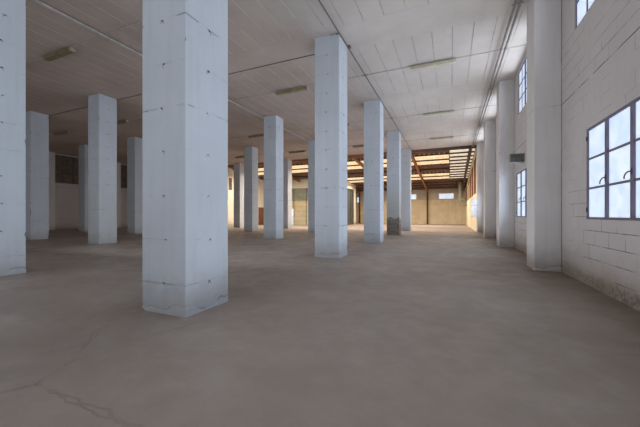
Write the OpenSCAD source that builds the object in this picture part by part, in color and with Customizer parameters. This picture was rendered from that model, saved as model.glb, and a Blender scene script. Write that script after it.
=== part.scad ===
// Factory building: a concrete-framed hall with a steel lean-to shed behind it.
// The front wall faces -Y, the right-hand wall faces +X, and the ground is at z = 0.

/* [Hall frame] */
// Spacing of the column rows and column lines
bay = 4500; // [4200:50:4550]
// Side of a square column
column_side = 630; // [450:10:700]
// Chamfer on the edges of columns and pilasters
column_edge = 12; // [5:1:25]
// Number of bays from the right wall to the left wall
bays_across = 6; // [3:1:6]
// Number of bays from the front wall to the shed
bays_deep = 5; // [3:1:5]
// Height of the hall from floor to ceiling
clear_height = 5330; // [5250:10:5600]
// Thickness of the roof slab over the hall
slab_t = 380; // [250:10:500]
// Thickness of the floor above the ground
floor_t = 150; // [100:10:300]

/* [Hall walls] */
// Thickness of the block walls
wall_t = 250; // [150:10:300]
// How far a pilaster stands out from the wall
pilaster_out = 410; // [200:10:500]
// Height of the parapet above the roof slab
parapet_h = 420; // [200:10:900]
// Thickness of the parapet
parapet_t = 200; // [150:10:240]
// Thickness of the coping stones
coping_t = 60; // [40:5:100]
// How far the coping and the eaves stand out
overhang = 30; // [10:5:60]

/* [Windows] */
// Width of a lower window
low_win_w = 2450; // [1800:10:2900]
// Height of a lower window
low_win_h = 1320; // [900:10:1500]
// Sill of the lower windows above the floor
low_sill = 960; // [700:10:1200]
// Gap from a lower window to the nearer pilaster
low_gap = 345; // [150:5:450]
// Width of an upper window
high_win_w = 2640; // [1800:10:3200]
// Sill of the upper windows above the floor
high_sill = 3990; // [3600:10:4200]
// Wall left between an upper window and the ceiling
high_head = 90; // [60:5:200]
// Sill of the left wall's windows above the floor
left_sill = 3290; // [3000:10:3800]
// Width of a window's outer frame
frame_w = 32; // [25:1:70]
// Width of a glazing bar
bar_w = 28; // [15:1:40]
// Width of the pair of stiles where two casements meet
meeting_w = 58; // [40:1:80]
// How far those stiles stand out from the glazing bars
meeting_out = 12; // [4:1:14]
// Depth of a window frame
frame_d = 50; // [30:1:80]
// Thickness of a pane
glass_t = 8; // [4:1:12]
// Depth of the glass behind the wall's inner face
frame_set = 15; // [5:1:60]
// Height of the sills outside the windows
sill_h = 40; // [25:5:80]

/* [Shed] */
// Clear length of the shed from the hall to the far wall
shed_l = 16250; // [15500:50:16300]
// Clear width of the shed between its right wall and its left wall
shed_w = 20005; // [19500:5:20200]
// Thickness of the shed's walls
shed_wall_t = 250; // [150:10:300]
// Height of the sill under the panels of the shed's right wall, above the floor
panel_sill = 2400; // [2000:50:2700]
// Depth of those panels
panel_depth = 70; // [30:5:120]
// Distance from the shed's right wall to the rafter beside it
edge_rafter_in = 300; // [200:5:340]
// Distance from the shed's right wall to the next rafter
next_rafter_in = 3925; // [3500:5:4000]
// Height of the roof sheets at the hall, above the hall's ceiling
roof_rise = 120; // [90:5:250]
// Fall of the roof sheets from the hall to the far wall
roof_fall = 1450; // [1200:10:1500]
// Spacing of the ribs of the roof sheets
rib_step = 330; // [250:5:400]
// Height of a rib
rib_h = 35; // [20:1:50]
// Thickness of the sheets themselves
sheet_t = 5; // [3:1:10]
// Depth of a purlin
purlin_d = 100; // [60:5:120]
// Width of a purlin
purlin_w = 50; // [40:5:80]
// Distance from the hall to the first purlin
purlin_first = 295; // [250:5:600]
// Spacing of the purlins
purlin_step = 1460; // [1300:10:1480]
// Depth of a rafter
rafter_d = 220; // [160:5:300]
// Width of a rafter and of its post
rafter_w = 150; // [100:5:180]
// Thickness of the steel of purlins and of the rafters' webs
web_t = 8; // [5:1:12]
// Thickness of a rafter's flanges
flange_t = 14; // [8:1:20]
// Depth of the ledger on the hall's edge
ledger_d = 180; // [120:5:220]
// Thickness of the ledger
ledger_w = 120; // [80:5:160]
// Diameter of the ventilation duct
duct_dia = 400; // [300:10:450]

/* [Gates and door] */
// Distance from the hall to the gate wall
gate_wall_at = 7465; // [7400:5:7700]
// Wall on the left of the gate
gate_pier_left = 1820; // [1600:10:2000]
// Wall on the right of the gate
gate_pier_right = 2460; // [2300:10:2600]
// Width of the gate
gate_w = 4420; // [4000:10:4600]
// Height from the tops of the gates up to the hall's ceiling
gate_drop = 1500; // [1480:10:1730]
// Thickness of a gate panel
gate_t = 60; // [40:1:80]
// Width of the wicket in the gate
wicket_w = 760; // [700:10:790]
// Height of the wicket
wicket_h = 1700; // [1650:10:2050]
// Length of the return wall from the gate wall to its step
return_l = 4700; // [4600:10:4900]
// Width of the gate in the return wall
return_gate_w = 3400; // [3000:10:3500]
// Pier between that gate and the step
return_pier = 700; // [500:10:800]
// Depth of the step behind the return wall
step_w = 1300; // [1200:10:1500]
// Width of the side door's opening in its frame
door_w = 850; // [750:10:950]
// Height of that opening
door_h = 1800; // [1700:10:2050]
// Thickness of the side door
door_t = 45; // [35:1:60]
// Clearance round the side door's leaf
door_gap = 6; // [5:1:12]
// Distance from the side door's frame to the gate wall
door_from_gate = 690; // [300:10:900]
// Radius of a hinge knuckle, and the distance of the hinge's axis from the leaf
knuckle_r = 9; // [7:0.5:11]

/* [Services] */
// Diameter of the pipes along the right side
pipe_dia = 45; // [20:1:80]
// Distance between those pipes
pipe_step = 140; // [80:5:200]
// Diameter of the ceiling conduits
conduit_dia = 25; // [16:1:40]
// Length of a lamp fitting
lamp_l = 1200; // [1100:10:1560]
// Width of a lamp fitting
lamp_w = 150; // [110:5:180]
// Height of a lamp fitting
lamp_d = 95; // [50:5:120]
// How far the lamps hang nearer the front than the middle of their bays
lamp_off = 200; // [0:10:400]

/* [Hidden] */

// Overall plan of the hall and the building
hall_w = bays_across * bay + column_side;
hall_l = bays_deep * bay + column_side;
total_l = hall_l + shed_l + shed_wall_t;
right = hall_w / 2;
front = -total_l / 2;
hall_back = front + hall_l;
far_face = hall_back + shed_l;
back = far_face + shed_wall_t;
soffit = floor_t + clear_height;
slab_top = soffit + slab_t;
clear_bay = bay - column_side;

// Inner faces of the walls
right_face = right - wall_t;
left_face = -right + wall_t;
front_face = front + wall_t;

// Small joints: where steel seats on steel, and between neighbouring sheets
seat = 0.5;
sheet_joint = 2;

// Shed: its walls, the gate wall, and the return wall with its step
shed_right = right_face - pilaster_out;
shed_left = shed_right - shed_w;
gate_face = hall_back + gate_wall_at;
gate_left = shed_left + gate_pier_left;
return_face = gate_left + gate_w + gate_pier_right;
return_back = gate_face + return_l;
step_face = return_face - step_w;
roof_high = clear_height + roof_rise;
roof_low = roof_high - roof_fall;
roof_slope = roof_fall / shed_l;
roof_angle = atan(roof_slope);
rafter_top = purlin_d + seat;
rafter_under = rafter_top + rafter_d;
last_rafter = 4;
step_rafter = 3;
next_rafter = shed_right - next_rafter_in;
shed_bay = (next_rafter - step_face - step_w / 2) / (step_rafter - 1);
purlin_count = floor((shed_l - purlin_first - purlin_w) / purlin_step) + 1;
rib_foot = 90;
rib_top = 40;

// Far posts and their base plates
post_gap = 200;
plate_side = 260;
plate_t = 15;

// Light sheets lie between these purlins, and in a strip along the right wall
sky_from = 1;
sky_to = 3;
sky_again = 5;
sky_end = 7;
strip_w = 1520;
strip_battens = 9;
batten_step = purlin_step * (sky_end - sky_from) / strip_battens;
battens_shared = 3;

// Panels of the shed's right wall, between its posts
panel_count = 6;
panel_post = 220;
panel_head = 500;

// Gate panels, the wicket's place, and the stiles inside a gate
gate_h = clear_height - gate_drop;
gate_panels = 5;
panel_groove = 12;
stile_w = 60;
stile_out = 35;
stile_bays = 3;
gate_in = 60;
wicket_left = gate_left + gate_w / stile_bays - wicket_w - stile_w / 2;
return_gate_at = return_back - return_pier - return_gate_w;

// Side door, in the shed's left wall
door_jamb = 50;
door_frame_d = 100;
doorway_w = door_w + 2 * door_jamb;
doorway_h = door_h + door_jamb;
door_at = gate_face - door_from_gate - doorway_w;
hinge_x = shed_left + knuckle_r;
hinge_y = door_at + door_jamb + door_gap / 2;
hinge_heights = [250, 1450];
knuckle_h = 50;
knuckle_gap = 2;
hinge_strap = 40;
strap_t = 4;
leaf_rail = 110;
leaf_recess = 10;
handle_z = 950;
handle_l = 120;
handle_r = 8;
handle_out = 50;

// Windows in the far wall
far_win_w = 1590;
far_win_h = 640;
far_sill_drop = 1150;
far_sill = roof_low - far_sill_drop;
far_win_in = 1150;
far_windows_n = 3;

// Narrow window at the left end of the far wall
slot_win_w = 300;
slot_win_h = 700;
slot_sill_drop = 1400;
slot_sill = roof_low - slot_sill_drop;
slot_win_at = step_face + 200;

// Small high window in the shed's left wall
small_win_w = 450;
small_win_h = 1100;
small_sill = 3330;
small_win_at = hall_back + 1170;

// Services along the right-hand side
pipe_x = right_face - pilaster_out - 200;
pipe_drop = 100;
hanger_t = 8;
hanger_w = 40;
hanger_rod = 12;
conduit_gap = 2;
branch_row = 1;
branch_line = 2;
branch_l = 220;
branch_off = 5;
junction = 80;
trunk_w = 60;
trunk_d = 40;
lamp_base = 80;
lamp_neck = 25;
lamp_taper = 12;
unit_w = 1400;
unit_h = 300;
unit_d = 200;
unit_z = floor_t + 2550;
unit_gap = 100;
unit_rim = 20;
unit_recess = 90;
slat_n = 6;
slat_t = 5;
slat_in = 10;
slat_rise = 22;
cabinet_w = 560;
cabinet_d = 320;
cabinet_heights = [330, 340, 370];
cabinet_gap = 25;
cabinet_z = floor_t + 890;
cabinet_door_t = 12;
cabinet_rim = 12;
duct_after = 8;
duct_x = shed_right - 585;
duct_z = floor_t + 2150;
duct_bend = 260;

function row_x(i) = right - column_side / 2 - i * bay;
function line_y(j) = front + column_side / 2 + j * bay;
function lamp_y(j) = line_y(j) + bay / 2 - lamp_off;
function sheet_z(y) = floor_t + roof_high - roof_slope * (y - hall_back);
// The edge rafter stands by the right wall; the others are evenly spaced, down to the step's
function rafter_x(k) = k == 0 ? shed_right - edge_rafter_in : next_rafter - (k - 1) * shed_bay;
function purlin_y(n) = hall_back + purlin_first + n * purlin_step;
// Bays alternate: their lower windows stand near the front or the back pilaster
function low_win_at(b) = b % 2 == 1
    ? line_y(b) + column_side / 2 + low_gap
    : line_y(b + 1) - column_side / 2 - low_gap - low_win_w;

// A box given by its lower corner and its upper corner
module box(low, high) {
    translate(low) cube(high - low);
}

// A bar from x0 to x1 and y0 to y1, between two depths under the roof sheets
module sloped(x0, x1, y0, y1, top, bottom) {
    translate([x0, 0, 0]) rotate([90, 0, 90]) linear_extrude(x1 - x0) polygon([
        [y0, sheet_z(y0) - bottom], [y1, sheet_z(y1) - bottom],
        [y1, sheet_z(y1) - top], [y0, sheet_z(y0) - top]]);
}

// A stretch of shed wall: level below, and cut to the slope of the roof above
module shed_wall(x0, x1, y0, y1, low = 0) {
    translate([x0, 0, 0]) rotate([90, 0, 90]) linear_extrude(x1 - x0) polygon([
        [y0, low], [y1, low], [y1, sheet_z(y1) - seat], [y0, sheet_z(y0) - seat]]);
}

// A pier in plan: its face, with chamfered edges, is on y = 0, and its back is square
module pier(w, d) {
    linear_extrude(clear_height) polygon([
        [column_edge, 0], [w - column_edge, 0], [w, column_edge], [w, d], [0, d],
        [0, column_edge]]);
}

// A steel window of cols by rows panes, drawn in XZ with its lower left corner at the origin
// and its room side on y = 0. Casements meet after the columns of panes that meets lists
module steel_window(w, h, cols, rows, meets = []) {
    wide = len(meets);
    pane_w = (w - 2 * frame_w - wide * meeting_w - (cols - 1 - wide) * bar_w) / cols;
    pane_h = (h - 2 * frame_w - (rows - 1) * bar_w) / rows;
    function pane_x(c) = frame_w + c * (pane_w + bar_w)
        + len([for (m = meets) if (m <= c) m]) * (meeting_w - bar_w);
    difference() {
        cube([w, frame_d, h]);
        for (c = [0 : cols - 1], r = [0 : rows - 1])
            translate([pane_x(c), -1, frame_w + r * (pane_h + bar_w)])
                cube([pane_w, frame_d + 2, pane_h]);
    }
    for (m = meets)
        translate([pane_x(m) - meeting_w, -meeting_out, frame_w])
            cube([meeting_w, meeting_out + frame_d / 2, h - 2 * frame_w]);
}

// Places a window's own drawing on the inside of the right-hand wall at y, z
module on_right_wall(y, z) {
    translate([right_face + frame_set, y, z]) rotate([0, 0, 90]) mirror([0, 1, 0]) children();
}

// Places it on the inside of the left wall
module on_left_wall(y, z) {
    translate([left_face - frame_set, y, z]) rotate([0, 0, 90]) children();
}

// Places it on the inside of the front wall
module on_front_wall(x, z) {
    translate([x, front_face - frame_set, z]) mirror([0, 1, 0]) children();
}

function high_win_h() = clear_height - high_sill - high_head;
function left_win_h() = clear_height - left_sill - high_head;
// Window places: the left edge in X on the front wall, the nearer edge in Y on the side walls
function high_win_at(b) = line_y(b) + (bay - high_win_w) / 2;
function front_low_x(b) = row_x(b + 1) + (bay - low_win_w) / 2;
function front_high_x(b) = row_x(b + 1) + (bay - high_win_w) / 2;

module hall_floor() {
    color("tan") box([left_face, front_face, 0], [right_face, hall_back, floor_t]);
}

// The shed's floor, with the thresholds of the side door and both gates
module shed_floor() {
    color("tan") linear_extrude(floor_t) {
        polygon([
            [shed_left, hall_back], [shed_right, hall_back], [shed_right, far_face],
            [step_face, far_face], [step_face, return_back], [return_face, return_back],
            [return_face, gate_face], [shed_left, gate_face]]);
        translate([shed_left - shed_wall_t, door_at]) square([shed_wall_t, doorway_w]);
        translate([gate_left, gate_face]) square([gate_w, shed_wall_t]);
        translate([return_face - shed_wall_t, return_gate_at]) square([shed_wall_t, return_gate_w]);
    }
}

// One free-standing column of a row, with chamfered edges
module column(i, j) {
    h = column_side / 2;
    e = h - column_edge;
    translate([row_x(i), line_y(j), floor_t]) linear_extrude(clear_height)
        polygon([[-e, -h], [e, -h], [h, -e], [h, e], [e, h], [-e, h], [-h, e], [-h, -e]]);
}

module columns_row(i) {
    color("gainsboro") for (j = [1 : bays_deep]) column(i, j);
}

module columns_row_1() { columns_row(1); }
module columns_row_2() { columns_row(2); }
module columns_row_3() { columns_row(3); }
module columns_row_4() { columns_row(4); }
module columns_row_5() { columns_row(5); }

// Where a side wall's pilasters begin and end: the first is cut by the front wall
function pier_from(j) = max(line_y(j) - column_side / 2, front_face);
function pier_to(j) = line_y(j) + column_side / 2;

module right_pilasters() {
    color("gainsboro") for (j = [0 : bays_deep])
        translate([right_face - pilaster_out, pier_to(j), floor_t]) rotate([0, 0, -90])
            pier(pier_to(j) - pier_from(j), pilaster_out);
}

module left_pilasters() {
    color("gainsboro") for (j = [0 : bays_deep])
        translate([left_face + pilaster_out, pier_from(j), floor_t]) rotate([0, 0, 90])
            pier(pier_to(j) - pier_from(j), pilaster_out);
}

module front_pilasters() {
    color("gainsboro") for (i = [1 : bays_across - 1])
        translate([row_x(i) + column_side / 2, front_face + pilaster_out, floor_t])
            rotate([0, 0, 180]) pier(column_side, pilaster_out);
}

module right_wall() {
    color("whitesmoke") difference() {
        box([right_face, front, 0], [right, hall_back, soffit]);
        for (b = [0 : bays_deep - 1]) {
            translate([right_face - 1, low_win_at(b), floor_t + low_sill])
                cube([wall_t + 2, low_win_w, low_win_h]);
            translate([right_face - 1, high_win_at(b), floor_t + high_sill])
                cube([wall_t + 2, high_win_w, high_win_h()]);
        }
    }
}

module left_wall() {
    color("whitesmoke") difference() {
        box([-right, front, 0], [left_face, hall_back, soffit]);
        for (b = [0 : bays_deep - 1])
            translate([-right - 1, line_y(b) + column_side / 2, floor_t + left_sill])
                cube([wall_t + 2, clear_bay, left_win_h()]);
    }
}

module front_wall() {
    color("whitesmoke") difference() {
        box([left_face, front, 0], [right_face, front_face, soffit]);
        for (b = [0 : bays_across - 1]) {
            translate([front_low_x(b), front - 1, floor_t + low_sill])
                cube([low_win_w, wall_t + 2, low_win_h]);
            translate([front_high_x(b), front - 1, floor_t + high_sill])
                cube([high_win_w, wall_t + 2, high_win_h()]);
        }
    }
}

// Infill behind the hall, left of the shed, between the columns of the last line
module rear_wall() {
    color("whitesmoke") difference() {
        box([left_face + pilaster_out, hall_back - wall_t, floor_t], [shed_left, hall_back, soffit]);
        for (i = [1 : bays_across - 1])
            translate([row_x(i) - column_side / 2, hall_back - wall_t - 1, floor_t - 1])
                cube([column_side, wall_t + 2, clear_height + 2]);
    }
}

module roof_slab() {
    color("lightgrey") box([-right, front, soffit], [right, hall_back, slab_top]);
}

module parapet() {
    color("whitesmoke") difference() {
        box([-right, front, slab_top], [right, hall_back, slab_top + parapet_h]);
        box([-right + parapet_t, front + parapet_t, slab_top - 1],
            [right - parapet_t, hall_back - parapet_t, slab_top + parapet_h + 1]);
    }
}

module parapet_coping() {
    low = slab_top + parapet_h;
    color("silver") difference() {
        box([-right - overhang, front - overhang, low],
            [right + overhang, hall_back + overhang, low + coping_t]);
        box([-right + parapet_t + overhang, front + parapet_t + overhang, low - 1],
            [right - parapet_t - overhang, hall_back - parapet_t - overhang, low + coping_t + 1]);
    }
}

module right_lower_windows() {
    color("dimgray") for (b = [0 : bays_deep - 1])
        on_right_wall(low_win_at(b), floor_t + low_sill)
            steel_window(low_win_w, low_win_h, 4, 3, [1, 2, 3]);
}

module right_upper_windows() {
    color("dimgray") for (b = [0 : bays_deep - 1])
        on_right_wall(high_win_at(b), floor_t + high_sill)
            steel_window(high_win_w, high_win_h(), 6, 3, [2, 4]);
}

module front_windows() {
    color("dimgray") for (b = [0 : bays_across - 1]) {
        on_front_wall(front_low_x(b), floor_t + low_sill)
            steel_window(low_win_w, low_win_h, 4, 3, [1, 2, 3]);
        on_front_wall(front_high_x(b), floor_t + high_sill)
            steel_window(high_win_w, high_win_h(), 6, 3, [2, 4]);
    }
}

module left_windows() {
    color("dimgray") for (b = [0 : bays_deep - 1])
        on_left_wall(line_y(b) + column_side / 2, floor_t + left_sill)
            steel_window(clear_bay, left_win_h(), 6, 3, [2, 4]);
    color("dimgray") translate([shed_left - frame_set, small_win_at, floor_t + small_sill])
        rotate([0, 0, 90]) steel_window(small_win_w, small_win_h, 1, 3);
}

// One sheet of glass closes each window, on the outer side of its frame
module window_glass() {
    outer = frame_set + frame_d;
    color("lightcyan") {
        for (b = [0 : bays_deep - 1]) {
            translate([right_face + outer, low_win_at(b), floor_t + low_sill])
                cube([glass_t, low_win_w, low_win_h]);
            translate([right_face + outer, high_win_at(b), floor_t + high_sill])
                cube([glass_t, high_win_w, high_win_h()]);
            translate([left_face - outer - glass_t, line_y(b) + column_side / 2,
                       floor_t + left_sill])
                cube([glass_t, clear_bay, left_win_h()]);
        }
        translate([shed_left - outer - glass_t, small_win_at, floor_t + small_sill])
            cube([glass_t, small_win_w, small_win_h]);
        for (k = [0 : far_windows_n - 1])
            translate([far_win_x(k), far_face + outer, floor_t + far_sill])
                cube([far_win_w, glass_t, far_win_h]);
        translate([slot_win_at, far_face + outer, floor_t + slot_sill])
            cube([slot_win_w, glass_t, slot_win_h]);
        for (b = [0 : bays_across - 1]) {
            translate([front_low_x(b), front_face - outer - glass_t, floor_t + low_sill])
                cube([low_win_w, glass_t, low_win_h]);
            translate([front_high_x(b), front_face - outer - glass_t, floor_t + high_sill])
                cube([high_win_w, glass_t, high_win_h()]);
        }
    }
}

// A sill outside a window of width w, drawn with its window's left end at the origin
module sill(w, wall) {
    inner = frame_set + frame_d + glass_t + 1;
    translate([0, inner, 0]) cube([w, wall + overhang - inner, sill_h]);
}

module window_sills() {
    color("silver") {
        for (b = [0 : bays_deep - 1]) {
            translate([right_face, low_win_at(b), floor_t + low_sill]) rotate([0, 0, 90])
                mirror([0, 1, 0]) sill(low_win_w, wall_t);
            translate([right_face, high_win_at(b), floor_t + high_sill]) rotate([0, 0, 90])
                mirror([0, 1, 0]) sill(high_win_w, wall_t);
            translate([left_face, line_y(b) + column_side / 2, floor_t + left_sill])
                rotate([0, 0, 90]) sill(clear_bay, wall_t);
        }
        for (b = [0 : bays_across - 1]) {
            translate([front_low_x(b), front_face, floor_t + low_sill]) mirror([0, 1, 0])
                sill(low_win_w, wall_t);
            translate([front_high_x(b), front_face, floor_t + high_sill]) mirror([0, 1, 0])
                sill(high_win_w, wall_t);
        }
        for (k = [0 : far_windows_n - 1])
            translate([far_win_x(k), far_face, floor_t + far_sill]) sill(far_win_w, shed_wall_t);
    }
}

// Half of a lamp fitting's section, from its base down to its diffuser
lamp_half = [[0, 0], [lamp_base / 2, 0], [lamp_base / 2, -lamp_neck],
             [lamp_w / 2, -lamp_neck - lamp_taper], [lamp_w / 2 - lamp_taper, -lamp_d],
             [0, -lamp_d]];
lamp_section = concat(lamp_half, [for (n = [len(lamp_half) - 2 : -1 : 1])
    [-lamp_half[n][0], lamp_half[n][1]]]);

// A batten fitting hangs from the conduit across every bay's ceiling
module ceiling_lamps() {
    color("wheat") for (i = [0 : bays_across - 1], j = [0 : bays_deep - 1])
        translate([row_x(i) - bay / 2 - lamp_l / 2, lamp_y(j), soffit - conduit_dia])
            rotate([90, 0, 90]) linear_extrude(lamp_l) polygon(lamp_section);
}

// A conduit feeds each line of lamps. Below these, another follows the first row of columns,
// and a trunking with its own conduit follows the second. From a junction box behind one column
// a conduit runs to the left wall, and a short branch ends on that column's near face
module ceiling_conduits() {
    low = soffit - conduit_dia - conduit_gap;
    y0 = front_face + pilaster_out;
    trunk_x = row_x(2) - column_side / 2 - trunk_w;
    beside = row_x(branch_row) + column_side / 2 + conduit_dia / 2;
    off_face = column_side / 2 + conduit_dia / 2 + branch_off;
    color("dimgray") {
        translate([left_face, line_y(branch_line) + off_face, soffit - conduit_dia / 2])
            rotate([0, 90, 0]) cylinder(h = beside - left_face, d = conduit_dia, $fn = 12);
        translate([beside - branch_l, line_y(branch_line) - off_face, low - conduit_dia / 2])
            rotate([0, 90, 0]) cylinder(h = branch_l, d = conduit_dia, $fn = 12);
        translate([beside - conduit_dia / 2, line_y(branch_line) + off_face - junction / 2,
                   low - conduit_dia])
            cube([junction, junction, soffit - low + conduit_dia]);
        for (j = [0 : bays_deep - 1])
            translate([left_face, lamp_y(j), soffit - conduit_dia / 2])
                rotate([0, 90, 0]) cylinder(h = right_face - left_face, d = conduit_dia, $fn = 12);
        for (x = [row_x(1) + column_side / 2 + conduit_dia / 2, trunk_x - conduit_dia])
            translate([x, y0, low - conduit_dia / 2]) rotate([-90, 0, 0])
                cylinder(h = hall_back - y0, d = conduit_dia, $fn = 12);
        translate([trunk_x, y0, low - trunk_d]) cube([trunk_w, hall_back - y0, trunk_d]);
    }
}

// Two pipes side by side along the right-hand pilasters, on a hanger in line with each
module wall_pipes() {
    z = soffit - pipe_drop;
    reach = pipe_step + pipe_dia;
    color("dimgray") {
        for (x = [pipe_x - pipe_step / 2, pipe_x + pipe_step / 2])
            translate([x, front_face, z]) rotate([-90, 0, 0])
                cylinder(h = hall_back - front_face, d = pipe_dia, $fn = 24);
        for (j = [1 : bays_deep]) {
            translate([pipe_x - reach / 2, line_y(j) - hanger_w / 2, z - hanger_t / 2])
                cube([reach, hanger_w, hanger_t]);
            translate([pipe_x, line_y(j), z]) cylinder(h = pipe_drop, d = hanger_rod, $fn = 24);
        }
    }
}

// A case with sloping slats across its recessed front
module wall_unit() {
    x = right_face - unit_d;
    y = line_y(3) - column_side / 2 - unit_gap - unit_w;
    slat_d = unit_recess - 2 * slat_in;
    slat_step = (unit_h - 2 * unit_rim - slat_rise) / slat_n;
    color("dimgray") {
        difference() {
            box([x, y, unit_z], [right_face, y + unit_w, unit_z + unit_h]);
            box([x - 1, y + unit_rim, unit_z + unit_rim],
                [x + unit_recess, y + unit_w - unit_rim, unit_z + unit_h - unit_rim]);
        }
        for (n = [0 : slat_n - 1])
            translate([x + slat_in, y + unit_w - unit_rim / 2,
                       unit_z + unit_rim + (n + 0.5) * slat_step])
                rotate([90, 0, 0]) linear_extrude(unit_w - unit_rim) polygon([
                    [0, 0], [slat_d, slat_rise], [slat_d, slat_rise + slat_t], [0, slat_t]]);
    }
}

// Three cabinets stand one over another on the last pilaster, each with a raised door
module meter_cabinets() {
    y = line_y(bays_deep) - cabinet_w / 2;
    x = right_face - pilaster_out;
    color("white") for (k = [0 : 2]) {
        h = cabinet_heights[k];
        low = cabinet_z + (k > 0 ? cabinet_heights[0] + cabinet_gap : 0)
            + (k > 1 ? cabinet_heights[1] + cabinet_gap : 0);
        box([x - cabinet_d + cabinet_door_t, y, low], [x, y + cabinet_w, low + h]);
        box([x - cabinet_d, y + cabinet_rim, low + cabinet_rim],
            [x - cabinet_d + cabinet_door_t, y + cabinet_w - cabinet_rim, low + h - cabinet_rim]);
    }
}

// A duct comes down from the shed's roof between two purlins and bends to the right wall
module shed_duct() {
    y = purlin_y(duct_after) + purlin_step / 2;
    color("darkgray") translate([duct_x, y, 0]) {
        difference() {
            translate([0, 0, duct_z + duct_bend]) cylinder(h = roof_high, d = duct_dia, $fn = 48);
            translate([-duct_dia, -y, 0])
                sloped(0, 2 * duct_dia, y - duct_dia, y + duct_dia, seat, -roof_high);
        }
        translate([duct_bend, 0, duct_z + duct_bend]) rotate([-90, 0, 0])
            rotate_extrude(angle = 90, $fn = 48) translate([-duct_bend, 0]) circle(d = duct_dia);
        translate([duct_bend, 0, duct_z]) rotate([0, 90, 0])
            cylinder(h = shed_right - duct_x - duct_bend, d = duct_dia, $fn = 48);
    }
}

module shed_ledger() {
    color("sienna") box([shed_left, hall_back, soffit - ledger_d],
                        [shed_right, hall_back + ledger_w, soffit]);
}

// A rafter of I section down the slope of the roof
module rafter(k, y0, y1) {
    x = rafter_x(k);
    difference() {
        sloped(x - rafter_w / 2, x + rafter_w / 2, y0, y1, rafter_top, rafter_under);
        for (x0 = [x - rafter_w, x + web_t / 2])
            sloped(x0, x0 + rafter_w - web_t / 2, y0 - 1, y1 + 1,
                   rafter_top + flange_t, rafter_under - flange_t);
    }
}

// Rafters run from the ledger to the far wall or the gate wall, with a short one in the step
module shed_rafters() {
    color("saddlebrown") {
        for (k = [0 : last_rafter])
            rafter(k, hall_back + ledger_w, rafter_x(k) > return_face ? far_face : gate_face);
        rafter(step_rafter, return_back, far_face);
    }
}

// The section of a post, in plan
module post_section() {
    difference() {
        square(rafter_w, center = true);
        for (x = [-rafter_w / 2, rafter_w / 2 + web_t / 2])
            translate([x - web_t / 4, 0])
                square([rafter_w - web_t / 2, rafter_w - 2 * flange_t], center = true);
    }
}

// A post on a base plate stands under the far end of each rafter away from the right wall
module shed_posts() {
    y = far_face - post_gap - rafter_w / 2;
    color("saddlebrown") for (k = [1 : step_rafter]) {
        intersection() {
            translate([rafter_x(k), y, floor_t]) linear_extrude(roof_low) post_section();
            sloped(rafter_x(k) - rafter_w, rafter_x(k) + rafter_w, y - rafter_w, y + rafter_w,
                   rafter_under + seat, roof_low + roof_high);
        }
        translate([rafter_x(k) - plate_side / 2, y - plate_side / 2, floor_t])
            cube([plate_side, plate_side, plate_t]);
    }
}

// A channel across the slope, with its web towards the hall
module purlin(x0, x1, y) {
    points = [[0, 0], [purlin_w, 0], [purlin_w, web_t], [web_t, web_t],
              [web_t, purlin_d - web_t], [purlin_w, purlin_d - web_t], [purlin_w, purlin_d],
              [0, purlin_d]];
    translate([x0, 0, 0]) rotate([90, 0, 90]) linear_extrude(x1 - x0)
        polygon([for (p = points) [y + p[0], sheet_z(y + p[0]) - p[1] - seat / 2]]);
}

// Every other purlin stops short of the light strip along the right wall, at a trimmer down
// the slope. The strip has its own closer battens from the trimmer to the wall, and each third
// one is the purlin that runs on there
module shed_purlins() {
    color("brown") {
        for (n = [0 : purlin_count - 1]) {
            y = purlin_y(n) - purlin_w / 2;
            from = y < gate_face - purlin_w ? shed_left : y < return_back ? return_face : step_face;
            stopped = n > sky_from && n < sky_end && (n - sky_from) % 2 == 1;
            purlin(from, stopped ? strip_left : shed_right, y);
        }
        for (n = [-1 : strip_battens - 1])
            if (n % battens_shared != 0)
                purlin(strip_left - purlin_w, shed_right,
                       sky_ends[0] + n * batten_step - purlin_w / 2);
        sloped(strip_left - purlin_w, strip_left, strip_from - purlin_w / 2,
               sky_ends[3] + purlin_w / 2, seat, purlin_d);
    }
}

// The underside of a ribbed sheet from x0 to x1, as heights over the purlins; the ribs of all
// the sheets are in line
function rib_line(x0, x1) = concat([[x0, 0]], [
    for (n = [0 : floor((x1 - shed_left) / rib_step) + 1])
        let (x = shed_left + n * rib_step)
            if (x - rib_foot > x0 && x + rib_foot < x1)
                for (p = [[-rib_foot, 0], [-rib_top, rib_h], [rib_top, rib_h], [rib_foot, 0]])
                    [x + p[0] / 2, p[1]]
], [[x1, 0]]);

// A ribbed sheet laid down the slope of the roof
module ribbed_sheet(x0, x1, y0, y1) {
    under = rib_line(x0, x1);
    over = [for (n = [len(under) - 1 : -1 : 0]) under[n] + [0, sheet_t]];
    translate([0, y1, sheet_z(y1)]) rotate([90 - roof_angle, 0, 0])
        linear_extrude((y1 - y0) / cos(roof_angle)) polygon(concat(under, over));
}

// Edges of the roof: outer edges of the shed, and where the plain sheets meet the light ones
roof_left = shed_left - shed_wall_t - overhang;
roof_mid = return_face - shed_wall_t - overhang;
roof_step = step_face - shed_wall_t - overhang;
roof_right = shed_right + shed_wall_t + overhang;
roof_end = back + overhang;
gate_end = gate_face + shed_wall_t + overhang;
strip_left = shed_right - strip_w;
sky_ends = [purlin_y(sky_from), purlin_y(sky_to), purlin_y(sky_again), purlin_y(sky_end)];
strip_from = sky_ends[0] - batten_step;

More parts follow.
